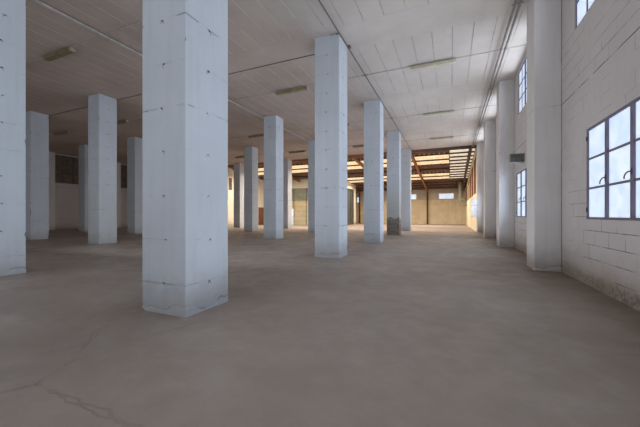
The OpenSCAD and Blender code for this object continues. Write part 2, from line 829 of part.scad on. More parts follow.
module shed_roof_sheets() {
    j = sheet_joint;
    color("slategray") {
        ribbed_sheet(roof_left, strip_left - j, hall_back, sky_ends[0] - j);
        ribbed_sheet(strip_left, roof_right, hall_back, strip_from - j);
        ribbed_sheet(roof_left, roof_mid - j, sky_ends[1] + j, gate_end);
        ribbed_sheet(roof_mid, strip_left - j, sky_ends[1] + j, sky_ends[2] - j);
        ribbed_sheet(roof_mid, roof_right, sky_ends[3] + j, roof_end);
        ribbed_sheet(roof_step, roof_mid - j, return_back - shed_wall_t, roof_end);
    }
}

// Two bands of light sheets across the roof, and a strip of them along the right wall
module shed_skylights() {
    color("ivory") {
        ribbed_sheet(roof_left, strip_left - sheet_joint, sky_ends[0], sky_ends[1]);
        ribbed_sheet(roof_mid, strip_left - sheet_joint, sky_ends[2], sky_ends[3]);
        ribbed_sheet(strip_left, roof_right, strip_from, sky_ends[3]);
    }
}

// The right wall, with sunk panels between posts above its sill
module shed_right_wall() {
    y0 = hall_back + panel_post;
    step = (shed_l - panel_post) / panel_count;
    color("tan") difference() {
        shed_wall(shed_right, shed_right + shed_wall_t, hall_back, far_face);
        for (n = [0 : panel_count - 1])
            translate([shed_right - 1, 0, 0]) rotate([90, 0, 90]) linear_extrude(panel_depth + 1)
                polygon([
                    [y0 + n * step, floor_t + panel_sill],
                    [y0 + (n + 1) * step - panel_post, floor_t + panel_sill],
                    [y0 + (n + 1) * step - panel_post,
                     sheet_z(y0 + (n + 1) * step - panel_post) - panel_head],
                    [y0 + n * step, sheet_z(y0 + n * step) - panel_head]]);
    }
}

// The left wall stands on both sides of the side door
module shed_left_wall() {
    color("ivory") {
        difference() {
            shed_wall(shed_left - shed_wall_t, shed_left, hall_back, door_at);
            translate([shed_left - shed_wall_t - 1, small_win_at, floor_t + small_sill])
                cube([shed_wall_t + 2, small_win_w, small_win_h]);
        }
        shed_wall(shed_left - shed_wall_t, shed_left, door_at + doorway_w,
                  gate_face + shed_wall_t);
    }
}

// The gate wall stands on both sides of its gate
module gate_wall() {
    y1 = gate_face + shed_wall_t;
    color("ivory") {
        shed_wall(shed_left, gate_left, gate_face, y1);
        shed_wall(gate_left + gate_w, return_face, gate_face, y1);
    }
}

// Lintels over both gates and over the side door
module gate_lintels() {
    low = floor_t + gate_h;
    color("ivory") {
        shed_wall(gate_left, gate_left + gate_w, gate_face, gate_face + shed_wall_t, low);
        shed_wall(return_face - shed_wall_t, return_face, return_gate_at,
                  return_gate_at + return_gate_w, low);
        shed_wall(shed_left - shed_wall_t, shed_left, door_at, door_at + doorway_w,
                  floor_t + doorway_h);
    }
}

// The return wall runs from the gate wall past its gate to the step, and on to the far wall
module return_wall() {
    outer = return_face - shed_wall_t;
    color("ivory") {
        shed_wall(outer, return_face, gate_face + shed_wall_t, return_gate_at);
        shed_wall(outer, return_face, return_gate_at + return_gate_w, return_back);
        shed_wall(step_face - shed_wall_t, outer, return_back - shed_wall_t, return_back);
        shed_wall(step_face - shed_wall_t, step_face, return_back, far_face);
    }
}

function far_win_x(k) = shed_right - far_win_in - far_win_w - k * shed_bay;

module far_wall() {
    color("tan") difference() {
        shed_wall(step_face - shed_wall_t, shed_right + shed_wall_t, far_face, back);
        for (k = [0 : far_windows_n - 1])
            translate([far_win_x(k), far_face - 1, floor_t + far_sill])
                cube([far_win_w, shed_wall_t + 2, far_win_h]);
        translate([slot_win_at, far_face - 1, floor_t + slot_sill])
            cube([slot_win_w, shed_wall_t + 2, slot_win_h]);
    }
}

module far_windows() {
    color("white") for (k = [0 : far_windows_n - 1])
        translate([far_win_x(k), far_face + frame_set, floor_t + far_sill])
            steel_window(far_win_w, far_win_h, 2, 1);
    color("white") translate([slot_win_at, far_face + frame_set, floor_t + slot_sill])
        steel_window(slot_win_w, slot_win_h, 1, 1);
}

// A sectional gate in XZ: stacked panels with grooves between them, and upright stiles inside
module sectional_gate(w) {
    panel_h = gate_h / gate_panels;
    difference() {
        cube([w, gate_t, gate_h]);
        for (n = [1 : gate_panels - 1])
            translate([-1, -1, n * panel_h - panel_groove / 2])
                cube([w + 2, panel_groove + 1, panel_groove]);
    }
    for (n = [0 : stile_bays])
        translate([n * (w - stile_w) / stile_bays, -stile_out, 0])
            cube([stile_w, stile_out + panel_groove, gate_h]);
}

// The gate wall's gate has a wicket cut through it; the return wall's gate has none
module sectional_gates() {
    color("darkolivegreen") {
        difference() {
            translate([gate_left, gate_face + gate_in, floor_t]) sectional_gate(gate_w);
            translate([wicket_left, gate_face, floor_t - 1])
                cube([wicket_w, shed_wall_t, wicket_h + 1]);
        }
        translate([return_face - gate_in, return_gate_at, floor_t]) rotate([0, 0, 90])
            sectional_gate(return_gate_w);
    }
}

// Hinge knuckles on the axis, each with a strap along y that its own side carries: the leaf's
// are the middle one of each hinge, and the frame's are those above and below it
module knuckles(levels, y) {
    for (h = hinge_heights, n = levels)
        translate([hinge_x, hinge_y, floor_t + h + n * (knuckle_h + knuckle_gap)]) {
            cylinder(h = knuckle_h, r = knuckle_r, $fn = 32);
            translate([-knuckle_r, min(y, 0), 0]) cube([strap_t, abs(y), knuckle_h]);
        }
}

module side_door_frame() {
    color("saddlebrown") {
        difference() {
            box([shed_left - door_frame_d, door_at, floor_t],
                [shed_left, door_at + doorway_w, floor_t + doorway_h]);
            box([shed_left - door_frame_d - 1, door_at + door_jamb, floor_t - 1],
                [shed_left + 1, door_at + door_jamb + door_w, floor_t + door_h]);
        }
        knuckles([-1, 1], -hinge_strap);
    }
}

// The leaf has two sunk panels, its hinge knuckles and a lever handle
module side_door() {
    y0 = door_at + door_jamb + door_gap;
    y1 = door_at + door_jamb + door_w - door_gap;
    z0 = floor_t + door_gap;
    z1 = floor_t + door_h - door_gap;
    middle = floor_t + handle_z;
    color("saddlebrown") {
        difference() {
            box([shed_left - door_t, y0, z0], [shed_left, y1, z1]);
            for (z = [[z0 + leaf_rail, middle - leaf_rail / 2], [middle + leaf_rail / 2, z1 - leaf_rail]])
                for (x = [shed_left - leaf_recess, shed_left - door_t - 1])
                    box([x, y0 + leaf_rail, z[0]],
                        [x + leaf_recess + 1, y1 - leaf_rail, z[1]]);
        }
        knuckles([0], hinge_strap);
        translate([shed_left, y1 - leaf_rail / 2, middle]) {
            rotate([0, 90, 0]) cylinder(h = handle_out, r = handle_r, $fn = 24);
            translate([handle_out, handle_r, 0]) rotate([90, 0, 0])
                cylinder(h = handle_l, r = handle_r, $fn = 24);
        }
    }
}

hall_floor();
shed_floor();
columns_row_1();
columns_row_2();
columns_row_3();
columns_row_4();
columns_row_5();
right_pilasters();
left_pilasters();
front_pilasters();
right_wall();
left_wall();
front_wall();
rear_wall();
roof_slab();
parapet();
parapet_coping();
right_lower_windows();
right_upper_windows();
front_windows();
left_windows();
window_glass();
window_sills();
ceiling_lamps();
ceiling_conduits();
wall_pipes();
wall_unit();
meter_cabinets();
shed_duct();
shed_ledger();
shed_rafters();
shed_posts();
shed_purlins();
shed_roof_sheets();
shed_skylights();
shed_right_wall();
shed_left_wall();
gate_wall();
gate_lintels();
return_wall();
far_wall();
far_windows();
sectional_gates();
side_door_frame();
side_door();
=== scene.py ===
"""Factory building: finishes, small parts, lights and camera around its packed construction."""

import math
from itertools import product

import bpy
import numpy as np
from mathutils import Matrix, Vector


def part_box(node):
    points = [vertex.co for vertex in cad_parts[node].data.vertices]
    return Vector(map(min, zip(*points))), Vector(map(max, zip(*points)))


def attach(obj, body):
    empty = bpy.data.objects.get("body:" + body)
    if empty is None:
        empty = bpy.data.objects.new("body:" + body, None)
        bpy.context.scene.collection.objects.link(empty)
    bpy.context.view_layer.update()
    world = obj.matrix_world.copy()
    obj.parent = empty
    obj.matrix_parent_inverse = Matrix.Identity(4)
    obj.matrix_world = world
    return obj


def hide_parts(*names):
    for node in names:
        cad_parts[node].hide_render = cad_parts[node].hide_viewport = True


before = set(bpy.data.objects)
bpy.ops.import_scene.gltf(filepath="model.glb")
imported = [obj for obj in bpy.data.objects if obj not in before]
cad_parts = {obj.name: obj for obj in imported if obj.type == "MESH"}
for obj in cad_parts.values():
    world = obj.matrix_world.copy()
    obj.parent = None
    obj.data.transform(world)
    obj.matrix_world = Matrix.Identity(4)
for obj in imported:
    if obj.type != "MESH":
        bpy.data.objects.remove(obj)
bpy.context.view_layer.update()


# Places read from the frame


def corners(node):
    """Every vertex of a node, as an array of points."""
    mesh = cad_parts[node].data
    points = np.zeros(len(mesh.vertices) * 3, np.float32)
    mesh.vertices.foreach_get("co", points)
    return points.reshape(-1, 3).astype(float)


def stretches(points, axis, gap):
    """(low, high) of each group of points along an axis, where groups are over gap apart."""
    values = np.unique(np.round(points[:, axis], 4))
    breaks = np.flatnonzero(np.diff(values) > gap)
    lows = values[np.concatenate([[0], breaks + 1])]
    highs = values[np.concatenate([breaks, [len(values) - 1]])]
    return list(zip(lows, highs))


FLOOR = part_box("hall_floor")[1].z
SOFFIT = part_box("roof_slab")[0].z
SLAB_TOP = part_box("roof_slab")[1].z
LEFT_FACE, FRONT_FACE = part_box("hall_floor")[0].xy
RIGHT_FACE, HALL_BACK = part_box("hall_floor")[1].xy
PIER_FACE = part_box("right_pilasters")[0].x
LEFT_PIER_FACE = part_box("left_pilasters")[1].x
SHED_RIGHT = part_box("shed_right_wall")[0].x
SHED_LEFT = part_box("shed_left_wall")[1].x
FAR_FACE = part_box("far_wall")[0].y
GATE_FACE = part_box("gate_wall")[0].y
RETURN_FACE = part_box("return_wall")[1].x

ROWS = ["columns_row_%d" % i for i in range(1, 6)]
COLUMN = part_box(ROWS[0])[1].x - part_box(ROWS[0])[0].x
COLUMN_GAP = COLUMN * 1.5
ROW_X = [(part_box(row)[0].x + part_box(row)[1].x) / 2 for row in ROWS]
BAY = ROW_X[0] - ROW_X[1]
LINE_Y = [(low + high) / 2 for low, high in stretches(corners(ROWS[0]), 1, COLUMN_GAP)]
CLEAR = SOFFIT - FLOOR
WINDOW_GAP = 0.9

# Form joints of the columns, and the joint of the walls' two pours, in metres above the floor
FORM_FIRST, FORM_STEP = 0.31, 0.455
FORM_LINES = np.arange(FORM_FIRST, CLEAR - 0.05, FORM_STEP)
POUR = 3.0
BLOCK_L, BLOCK_H, JOINT = 0.4, 0.2, 0.005
FRAME_D = 0.050
PANE_IN, PANE_T = 0.012, 0.005
PLANK_W = BAY / 10
BEAM_HALF = 0.5
UP = np.array([0, 0, 1.0])


# Repeatable noise, worked out on whole arrays


def lattice(x, y, z, seed):
    """A number from 0 to 1 for each whole-number corner: the fraction of a large sine."""
    wave = np.sin(x * 127.1 + y * 311.7 + z * 74.7 + seed * 53.31) * 43758.5453
    return wave - np.floor(wave)


def noise(x, y, z, seed=0):
    """Smooth noise from 0 to 1: the corner numbers of each cell, blended by 3t^2 - 2t^3."""
    x, y, z = np.broadcast_arrays(x, y, z)
    cell = [np.floor(a) for a in (x, y, z)]
    t = [a - c for a, c in zip((x, y, z), cell)]
    u, v, w = [a * a * (3 - 2 * a) for a in t]
    total = 0
    for (i, du), (j, dv), (k, dw) in product(*(((0, 1 - a), (1, a)) for a in (u, v, w))):
        total = total + du * dv * dw * lattice(cell[0] + i, cell[1] + j, cell[2] + k, seed)
    return total


def rough(x, y, z, seed=0, octaves=3):
    """Noise in octaves: each has twice the frequency and half the weight of the last."""
    total, weight = 0, 0
    for n in range(octaves):
        total = total + noise(x * 2**n, y * 2**n, z * 2**n, seed + n) * 0.5**n
        weight += 0.5**n
    return total / weight


def ease(value, low, high):
    """0 below low, 1 above high, and a smooth step between."""
    t = np.clip((value - low) / (high - low), 0, 1)
    return t * t * (3 - 2 * t)


# Meshes


class Build:
    """Collects vertices, faces and point values, and makes one piece of them."""

    def __init__(self):
        self.points, self.quads, self.tris, self.values, self.count = [], [], [], {}, 0

    def add(self, points, quads=None, tris=None, **values):
        """Adds points with faces that index them, and a value of each point by name."""
        for name, value in values.items():
            parts = self.values.setdefault(name, [])
            missing = self.count - sum(len(p) for p in parts)
            parts.append(np.zeros(missing))
            parts.append(np.broadcast_to(value, (len(points),)))
        for faces, kept in ((quads, self.quads), (tris, self.tris)):
            if faces is not None:
                kept.append(np.asarray(faces) + self.count)
        self.points.append(points)
        self.count += len(points)

    def grid(self, points, wrap=False, flip=False, **values):
        """Adds a surface of (rows, columns) points; wrap joins its last column to its first."""
        rows, columns = points.shape[:2]
        index = np.arange(rows * columns).reshape(rows, columns)
        nearer = index if wrap else index[:, :-1]
        further = np.roll(index, -1, 1) if wrap else index[:, 1:]
        quads = np.stack([nearer[:-1], further[:-1], further[1:], nearer[1:]], -1).reshape(-1, 4)
        if flip:
            quads = quads[:, ::-1]
        values = {name: np.broadcast_to(v, (rows, columns)).ravel() for name, v in values.items()}
        self.add(points.reshape(-1, 3), quads, **values)

    def boxes(self, low, high, bevel=0.003, **values):
        """Adds boxes with cut edges. Each corner has three points, one on each of its faces:
        a corner's point moves in from the two other faces by the bevel."""
        low, high = np.atleast_2d(low).astype(float), np.atleast_2d(high).astype(float)
        size = np.minimum(bevel, (high - low).min(1) * 0.45)[:, None, None, None]
        corner = np.array(list(product((0, 1), repeat=3)), float)
        at = low[:, None, :] + corner * (high - low)[:, None, :]
        inward = 1 - 2 * corner
        shift = inward[None, :, None, :] * (1 - np.eye(3))[None, None] * size
        points = (at[:, :, None, :] + shift).reshape(len(low), 24, 3)
        first = np.arange(len(low))[:, None, None] * 24
        faces = [(kind[None] + first).reshape(-1, kind.shape[1]) for kind in box_faces()]
        per_point = {n: np.repeat(np.broadcast_to(v, len(low)), 24) for n, v in values.items()}
        self.add(points.reshape(-1, 3), *faces, **per_point)

    def tube(self, path, radius, sides=10, **values):
        """Adds a closed tube: a circle carried along a path, kept square to it, with its ends
        drawn in to a point."""
        path = np.asarray(path, float)
        run = np.gradient(path, axis=0)
        run /= np.linalg.norm(run, axis=1)[:, None]
        side = np.zeros_like(path)
        first = np.eye(3)[np.argmin(np.abs(run[0]))]
        for n, way in enumerate(run):
            first = first - way * (first @ way)
            first /= np.linalg.norm(first)
            side[n] = first
        up = np.cross(run, side)
        turn = np.arange(sides) * 2 * np.pi / sides
        turn = turn[None, :, None]
        ring = np.cos(turn) * side[:, None] + np.sin(turn) * up[:, None]
        radius = np.broadcast_to(radius, len(path))[:, None, None]
        skin = path[:, None] + ring * radius
        caps = [np.repeat(path[end][None, None], sides, 1) for end in (0, -1)]
        self.grid(np.concatenate([caps[0], skin, caps[1]]), wrap=True, **values)

    def piece(self, name, material, slot, replaces=()):
        """Makes the mesh and its object in its material, and lets it ride on the building."""
        quads = np.concatenate(self.quads) if self.quads else np.zeros((0, 4), int)
        tris = np.concatenate(self.tris) if self.tris else np.zeros((0, 3), int)
        mesh = bpy.data.meshes.new(name)
        points = np.concatenate(self.points)
        mesh.vertices.add(len(points))
        mesh.vertices.foreach_set("co", points.astype(np.float32).ravel())
        mesh.loops.add(quads.size + tris.size)
        loops = np.concatenate([quads.ravel(), tris.ravel()]).astype(np.int32)
        mesh.loops.foreach_set("vertex_index", loops)
        starts = np.concatenate([np.arange(len(quads)) * 4,
                                 quads.size + np.arange(len(tris)) * 3])
        mesh.polygons.add(len(starts))
        mesh.polygons.foreach_set("loop_start", starts.astype(np.int32))
        mesh.update(calc_edges=True)
        mesh.validate()
        for key, parts in self.values.items():
            value = np.concatenate([*parts, np.zeros(self.count - sum(len(p) for p in parts))])
            held = mesh.attributes.new(key, "FLOAT", "POINT")
            held.data.foreach_set("value", value.astype(np.float32))
        mesh.polygons.foreach_set("use_smooth", np.zeros(len(mesh.polygons), bool))
        made = bpy.data.objects.new(name, mesh)
        bpy.context.scene.collection.objects.link(made)
        made.data.materials.append(material)
        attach(made, "building")
        if replaces:
            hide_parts(*replaces)


def box_faces():
    """Quads and triangles of one box of Build.boxes: its point for corner c on face axis a is
    3c + a, and faces turn outwards."""
    def point(axis, face, *bits):
        """The point on an axis's face at a corner, whose bits count from the first axis."""
        turned = [bits[(n - axis) % 3] for n in range(3)]
        return 3 * (turned[0] * 4 + turned[1] * 2 + turned[2]) + face % 3

    quads, tris = [], []
    for axis, side in product(range(3), (0, 1)):
        face = [point(axis, axis, side, u, v) for u, v in ((0, 0), (1, 0), (1, 1), (0, 1))]
        quads.append(face if side else face[::-1])
    for axis, u, v in product(range(3), (0, 1), (0, 1)):
        edge = [point(axis, axis + face, end, u, v)
                for end, face in ((0, 1), (1, 1), (1, 2), (0, 2))]
        quads.append(edge if u == v else edge[::-1])
    for bits in product((0, 1), repeat=3):
        tri = [point(0, face, *bits) for face in range(3)]
        tris.append(tri if sum(bits) % 2 else tri[::-1])
    return np.array(quads), np.array(tris)


# Shaders


def arithmetic(operation, swap=False):
    """A method that adds one Math node to its socket and, where one is given, another value."""
    def method(self, other=None):
        operands = (other, self) if swap else (self, other)
        return self.shader.node("Math", {"operation": operation}, *operands)
    return method


class Socket:
    """An output socket of a shader tree: arithmetic on it adds Math nodes."""

    def __init__(self, shader, output):
        self.shader, self.output = shader, output

    __add__ = __radd__ = arithmetic("ADD")
    __sub__, __rsub__ = arithmetic("SUBTRACT"), arithmetic("SUBTRACT", swap=True)
    __mul__ = __rmul__ = arithmetic("MULTIPLY")
    __truediv__ = arithmetic("DIVIDE")
    __mod__ = arithmetic("FLOORED_MODULO")
    floor, size, most = arithmetic("FLOOR"), arithmetic("ABSOLUTE"), arithmetic("MAXIMUM")

    def ease(self, low, high):
        """0 at low, 1 at high, and a smooth step between; low may be over high."""
        settings = {"interpolation_type": "SMOOTHSTEP"}
        if low < high:
            return self.shader.node("MapRange", settings, self, low, high)
        return 1 - self.shader.node("MapRange", settings, self, high, low)


class Shader:
    """One material. coat() lays its colour on in layers, and node() adds any node."""

    def __init__(self, name, **fixed):
        self.material = bpy.data.materials.new(name)
        self.material.use_nodes = True
        self.tree = self.material.node_tree
        self.surface = self.tree.nodes["Principled BSDF"]
        self.set(**fixed)
        self.colour = None
        self.place = self.node("TexCoord", {}, out="Object")
        self.x, self.y, self.z = self.parts(self.place)

    def node(self, kind, settings, *values, out=0, **named):
        """Adds a node of a type, with its settings, and the values or links of its sockets."""
        made = self.tree.nodes.new("ShaderNode" + kind)
        for key, value in settings.items():
            setattr(made, key, value)
        for key, value in [*enumerate(values), *named.items()]:
            self.join(value, made.inputs[key.replace("_", " ") if isinstance(key, str) else key])
        return Socket(self, made.outputs[out])

    def join(self, value, socket):
        """Links a socket, or sets its value."""
        if isinstance(value, Socket):
            self.tree.links.new(value.output, socket)
        elif value is not None:
            colour = socket.type == "RGBA" and len(value) == 3
            socket.default_value = (*value, 1) if colour else value

    def set(self, **sockets):
        """Sets or links sockets of the surface, such as Base_Color."""
        for key, value in sockets.items():
            self.join(value, self.surface.inputs[key.replace("_", " ")])

    def parts(self, vector):
        """The x, y and z of a vector."""
        split = self.node("SeparateXYZ", {}, vector).output.node
        return [Socket(self, output) for output in split.outputs]

    def normal(self):
        """The x, y and z of the way that the surface faces."""
        return self.parts(self.node("NewGeometry", {}, out="Normal"))

    def noise(self, scale, detail=3.0, roughness=0.55, stretch=None, distortion=0.0):
        """Noise over the object, stretched by dividing its coordinates."""
        where = self.place
        if stretch:
            squeeze = [1 / s for s in stretch]
            where = self.node("VectorMath", {"operation": "MULTIPLY"}, where, squeeze)
        return self.node("TexNoise", {}, Vector=where, Scale=scale, Detail=detail,
                         Roughness=roughness, Distortion=distortion)

    def patches(self, scale):
        """Broad soft patches, from 0 to 1."""
        return self.noise(scale, 5.0, 0.6).ease(0.3, 0.7)

    def cells(self, scale, feature="F1"):
        """Distance inside Voronoi cells, or to their edges."""
        return self.node("TexVoronoi", {"feature": feature}, Vector=self.place, Scale=scale,
                         out="Distance")

    def value(self, name):
        """A value that the mesh holds at each point."""
        return self.node("Attribute", {"attribute_name": name}, out="Fac")

    def mix(self, factor, first, second, blend="MIX"):
        """A colour between two colours."""
        made = self.node("Mix", {"data_type": "RGBA", "blend_type": blend}, factor, out=2)
        for value, index in ((first, 6), (second, 7)):
            self.join(value, made.output.node.inputs[index])
        return made

    def coat(self, mask, tint, blend="MIX"):
        """Lays a tint over the colour so far, as thick as the mask."""
        self.colour = self.mix(mask, self.colour, tint, blend)

    def finish(self, height, depth, **sockets):
        """Gives the surface its colour, and raises it by a height from 0 to 1 times a depth in
        metres."""
        normal = self.node("Bump", {}, Strength=1.0, Distance=depth, Height=height)
        self.set(Base_Color=self.colour, Normal=normal, **sockets)
        return self.material


def wall_run(shader):
    """Metres along a wall, and a mask of the walls that face along x: the metres are x where the
    normal is along y, and y where the normal is along x."""
    faces_x = shader.normal()[0].size().ease(0.4, 0.6)
    return shader.x * (1 - faces_x) + shader.y * faces_x, faces_x


def facing_down(shader):
    """1 on faces that look down and 0 on faces that look up."""
    return shader.normal()[2].ease(0.1, -0.1)


def from_lines(shader):
    """Metres along the hall to the nearest line of columns."""
    return ((shader.y - LINE_Y[0] + BAY / 2) % BAY - BAY / 2).size()


def block_joints(shader):
    """Two masks, 1 on the bed joints and on the end joints of blocks in stretcher bond. Every
    other course starts half a block later."""
    height = (shader.z - FLOOR) / BLOCK_H
    run = wall_run(shader)[0] / BLOCK_L + (height.floor() % 2) * 0.5
    wander = (shader.noise(9.0, 2.0) - 0.5) * 0.012

    def joint(count, length):
        """1 where a count of blocks is a whole number."""
        from_middle = ((count % 1) - 0.5).size() * length
        return ((length / 2 - from_middle).size() + wander).ease(0.007, 0.001)

    return joint(height, BLOCK_H), joint(run, BLOCK_L)


def white_paint(name, tint):
    """White paint on cast concrete: soft patches, brush marks down the face, scuffs and dirt
    near the floor, dark form joints, a dark line of painted shade in the crack above the foot,
    and bare concrete or damp stains where the mesh says."""
    s = Shader(name, Roughness=0.75)
    above = s.z - FLOOR
    s.colour = s.mix(s.patches(1.3), [c * 0.93 for c in tint], tint)
    runs = s.noise(2.2, 4.0, 0.6, stretch=(0.25, 0.25, 2.5)).ease(0.45, 0.75)
    s.coat(runs * 0.18, (0.36, 0.36, 0.35))
    dirt = (above - s.noise(6.0, 4.0) * 0.5).ease(0.25, -0.25)
    s.coat(dirt * 0.45, (0.30, 0.26, 0.22))
    scuffs = s.noise(6.0, 5.0, 0.7, stretch=(1.0, 1.0, 0.3)).ease(0.64, 0.72)
    s.coat(scuffs * above.ease(1.6, 0.1) * 0.35, (0.24, 0.22, 0.21))
    specks = s.cells(9.0).ease(0.045, 0.02) * s.noise(2.0).ease(0.5, 0.6)
    s.coat(specks * 0.6, (0.12, 0.12, 0.12))
    # The line value marks form joints, and also painted shade in the crack above the foot
    line = s.value("line") * s.noise(5.0, 3.0).ease(0.40, 0.58)
    s.coat(line * 0.75, (0.17, 0.175, 0.20))
    s.coat(s.value("soiled") * 0.75, (0.36, 0.34, 0.30))
    damp = (s.value("stain") + (s.noise(5.0, 5.0) - 0.5) * 1.1).ease(0.42, 0.62)
    browns = s.noise(9.0, 4.0).ease(0.4, 0.65)
    s.coat(damp * 0.85, s.mix(browns, (0.19, 0.145, 0.095), (0.085, 0.065, 0.05)))
    edge = (s.value("bare") + (s.noise(40.0, 4.0) - 0.5) * 0.7).ease(0.35, 0.55)
    s.coat(edge, s.mix(s.noise(30.0), (0.15, 0.14, 0.13), (0.34, 0.31, 0.28)))
    return s.finish(s.noise(55.0, 4.0, 0.65) * 0.6 + s.noise(7.0, 3.0) * 0.8, 0.0035)


def painted_block(name, tint):
    """Painted block walls. Paint hides the joints most from 2 m up to the joint of the pours,
    and wears off near the floor. Cracks run along that joint and beside the pilasters. Outside,
    rain has streaked the wall and splashed its foot."""
    s = Shader(name, Roughness=0.8)
    above = s.z - FLOOR
    s.colour = s.mix(s.patches(0.9), [c * 0.92 for c in tint], tint)
    low = (above - s.noise(3.0, 4.0) * 0.6).ease(0.30, -0.25)
    s.coat(low * 0.6, (0.38, 0.32, 0.26))
    beds, ends = block_joints(s)
    joints = (beds * s.noise(1.3, 4.0).ease(0.42, 0.56)).most(
        ends * s.noise(2.1, 3.0).ease(0.48, 0.58))
    strength = above.ease(2.0, 0.7) * 0.45 + 0.4 + above.ease(POUR - 0.05, POUR + 0.05) * 0.25
    s.coat(joints * strength, (0.15, 0.13, 0.125))
    broken = (above - s.noise(3.0, 3.0) * 0.14).ease(0.15, 0.03)
    crumbled = broken * s.noise(18.0, 5.0, 0.7).ease(0.50, 0.64)
    s.coat(broken * 0.5, (0.37, 0.31, 0.23))
    s.coat(crumbled * 0.45, (0.22, 0.175, 0.125))
    pits = s.cells(4.5).ease(0.032, 0.012) * s.noise(1.7).ease(0.45, 0.6)
    s.coat(pits * 0.7, (0.12, 0.10, 0.10))
    beyond = (s.x - RIGHT_FACE).most(LEFT_FACE - s.x).most(FRONT_FACE - s.y)
    wander = (s.noise(2.0, 3.0) - 0.5) * 0.03
    pour = (above - POUR + wander).size().ease(0.013, 0.004)
    beside = (from_lines(s) - COLUMN / 2).size() + wander * 0.2
    crack = pour.most(beside.ease(0.026, 0.008) * wall_run(s)[1])
    crack = crack * beyond.ease(0.05, 0.02) * (s.y - HALL_BACK).ease(0.01, -0.01)
    s.coat(crack * s.noise(3.0, 3.0).ease(0.30, 0.45) * 0.85, (0.11, 0.095, 0.09))
    flakes = s.noise(11.0, 5.0, 0.7).ease(0.60, 0.66) * above.ease(0.75, 0.05)
    s.coat(flakes * 0.8, (0.33, 0.30, 0.26))
    outside = beyond.ease(0.1, 0.15)
    streaks = s.noise(3.0, 4.0, 0.6, stretch=(0.6, 0.6, 9.0)).ease(0.52, 0.72)
    s.coat(outside * streaks * 0.35, (0.36, 0.34, 0.31))
    splash = (s.z - s.noise(4.0, 3.0) * 0.5).ease(0.45, 0.0)
    s.coat(outside * splash * 0.6, (0.33, 0.29, 0.24))
    rough_paint = s.noise(70.0, 4.0, 0.6) * 0.5 + s.noise(8.0, 3.0)
    return s.finish(rough_paint - joints * 0.8 - crumbled * 3, 0.004)


def screed():
    """Worn cement floor under dust: broad pale and dark patches, cracks, stains and specks, and
    a darker strip along the right wall."""
    s = Shader("floor_screed")
    broad = s.noise(0.35, 6.0, 0.6, distortion=0.6).ease(0.32, 0.68)
    fine = s.noise(2.6, 6.0, 0.65).ease(0.3, 0.7)
    s.colour = s.mix(broad, (0.282, 0.226, 0.190), (0.342, 0.283, 0.243))
    s.coat(fine * 0.35, (0.225, 0.19, 0.166))
    swept = s.noise(1.2, 4.0, 0.6, stretch=(0.5, 3.0, 1.0)).ease(0.55, 0.8)
    s.coat(swept * 0.3, (0.31, 0.26, 0.22))
    cracks = s.cells(0.32, "DISTANCE_TO_EDGE") + (s.noise(3.0, 4.0) - 0.5) * 0.05
    cracks = cracks.size().ease(0.004, 0.0) * s.noise(0.5).ease(0.5, 0.6)
    s.coat(cracks * 0.35, (0.15, 0.125, 0.105))
    by_wall = (RIGHT_FACE - s.x + (s.noise(0.8, 3.0) - 0.5) * 1.2).ease(2.2, 0.2)
    s.coat(by_wall * (s.y - HALL_BACK).ease(0.5, -0.5) * 0.7, (0.175, 0.130, 0.085))
    stains = s.noise(0.9, 3.0, 0.5, distortion=1.0).ease(0.66, 0.74)
    s.coat(stains * 0.35, (0.26, 0.22, 0.19))
    grit = s.cells(26.0).ease(0.10, 0.04) * s.noise(3.0).ease(0.5, 0.62)
    s.coat(grit * 0.45, (0.24, 0.21, 0.19))
    return s.finish(s.noise(22.0, 5.0, 0.6) * 0.5 + fine * 0.4 - cracks, 0.003,
                    Roughness=0.40 + fine * 0.3)


def ceiling_paint():
    """Grey-white paint on precast planks, with soot, damp and worn filler in the joints, which
    are dark in the first aisle and pale beyond it, where the pale is partly painted highlight on
    lit plank edges. Away from the windows it turns browner: painted shade."""
    s = Shader("soffit_paint", Roughness=0.85)
    soot = s.noise(0.5, 5.0, 0.6).ease(0.3, 0.72)
    s.colour = s.mix(soot, (0.49, 0.44, 0.405), (0.60, 0.55, 0.52))
    damp = s.noise(1.1, 4.0, 0.6, stretch=(1.0, 3.0, 1.0)).ease(0.6, 0.75)
    s.coat(damp * 0.35, (0.33, 0.28, 0.23))
    planks = (RIGHT_FACE - s.x) / PLANK_W
    s.coat(((planks.floor() * 7.3) % 1) * 0.10, (0.38, 0.35, 0.33))
    wander = (s.noise(2.5, 3.0) - 0.5) * 0.02
    from_joint = (((planks + 0.5) % 1) - 0.5).size() * PLANK_W + wander
    joint = from_joint.size().ease(0.014, 0.004) * from_lines(s).ease(BEAM_HALF, BEAM_HALF + 0.01)
    joint = joint * s.noise(1.4, 4.0).ease(0.34, 0.50)
    # Beyond the first aisle the pale joint lines are partly painted highlight on lit plank edges
    first_aisle = (s.x - ROW_X[0]).ease(-0.1, 0.1)
    s.coat(joint * 0.65, s.mix(first_aisle, (0.82, 0.78, 0.75), (0.15, 0.135, 0.13)))
    # Painted shade: the ceiling darkens and browns away from the windows
    window_falloff_shade = (ROW_X[0] - s.x + s.noise(0.7, 3.0) - 0.5).ease(-0.3, 1.6)
    s.coat(window_falloff_shade, (0.83, 0.74, 0.70), "MULTIPLY")
    return s.finish(s.noise(40.0, 4.0, 0.6) + s.noise(5.0), 0.003)


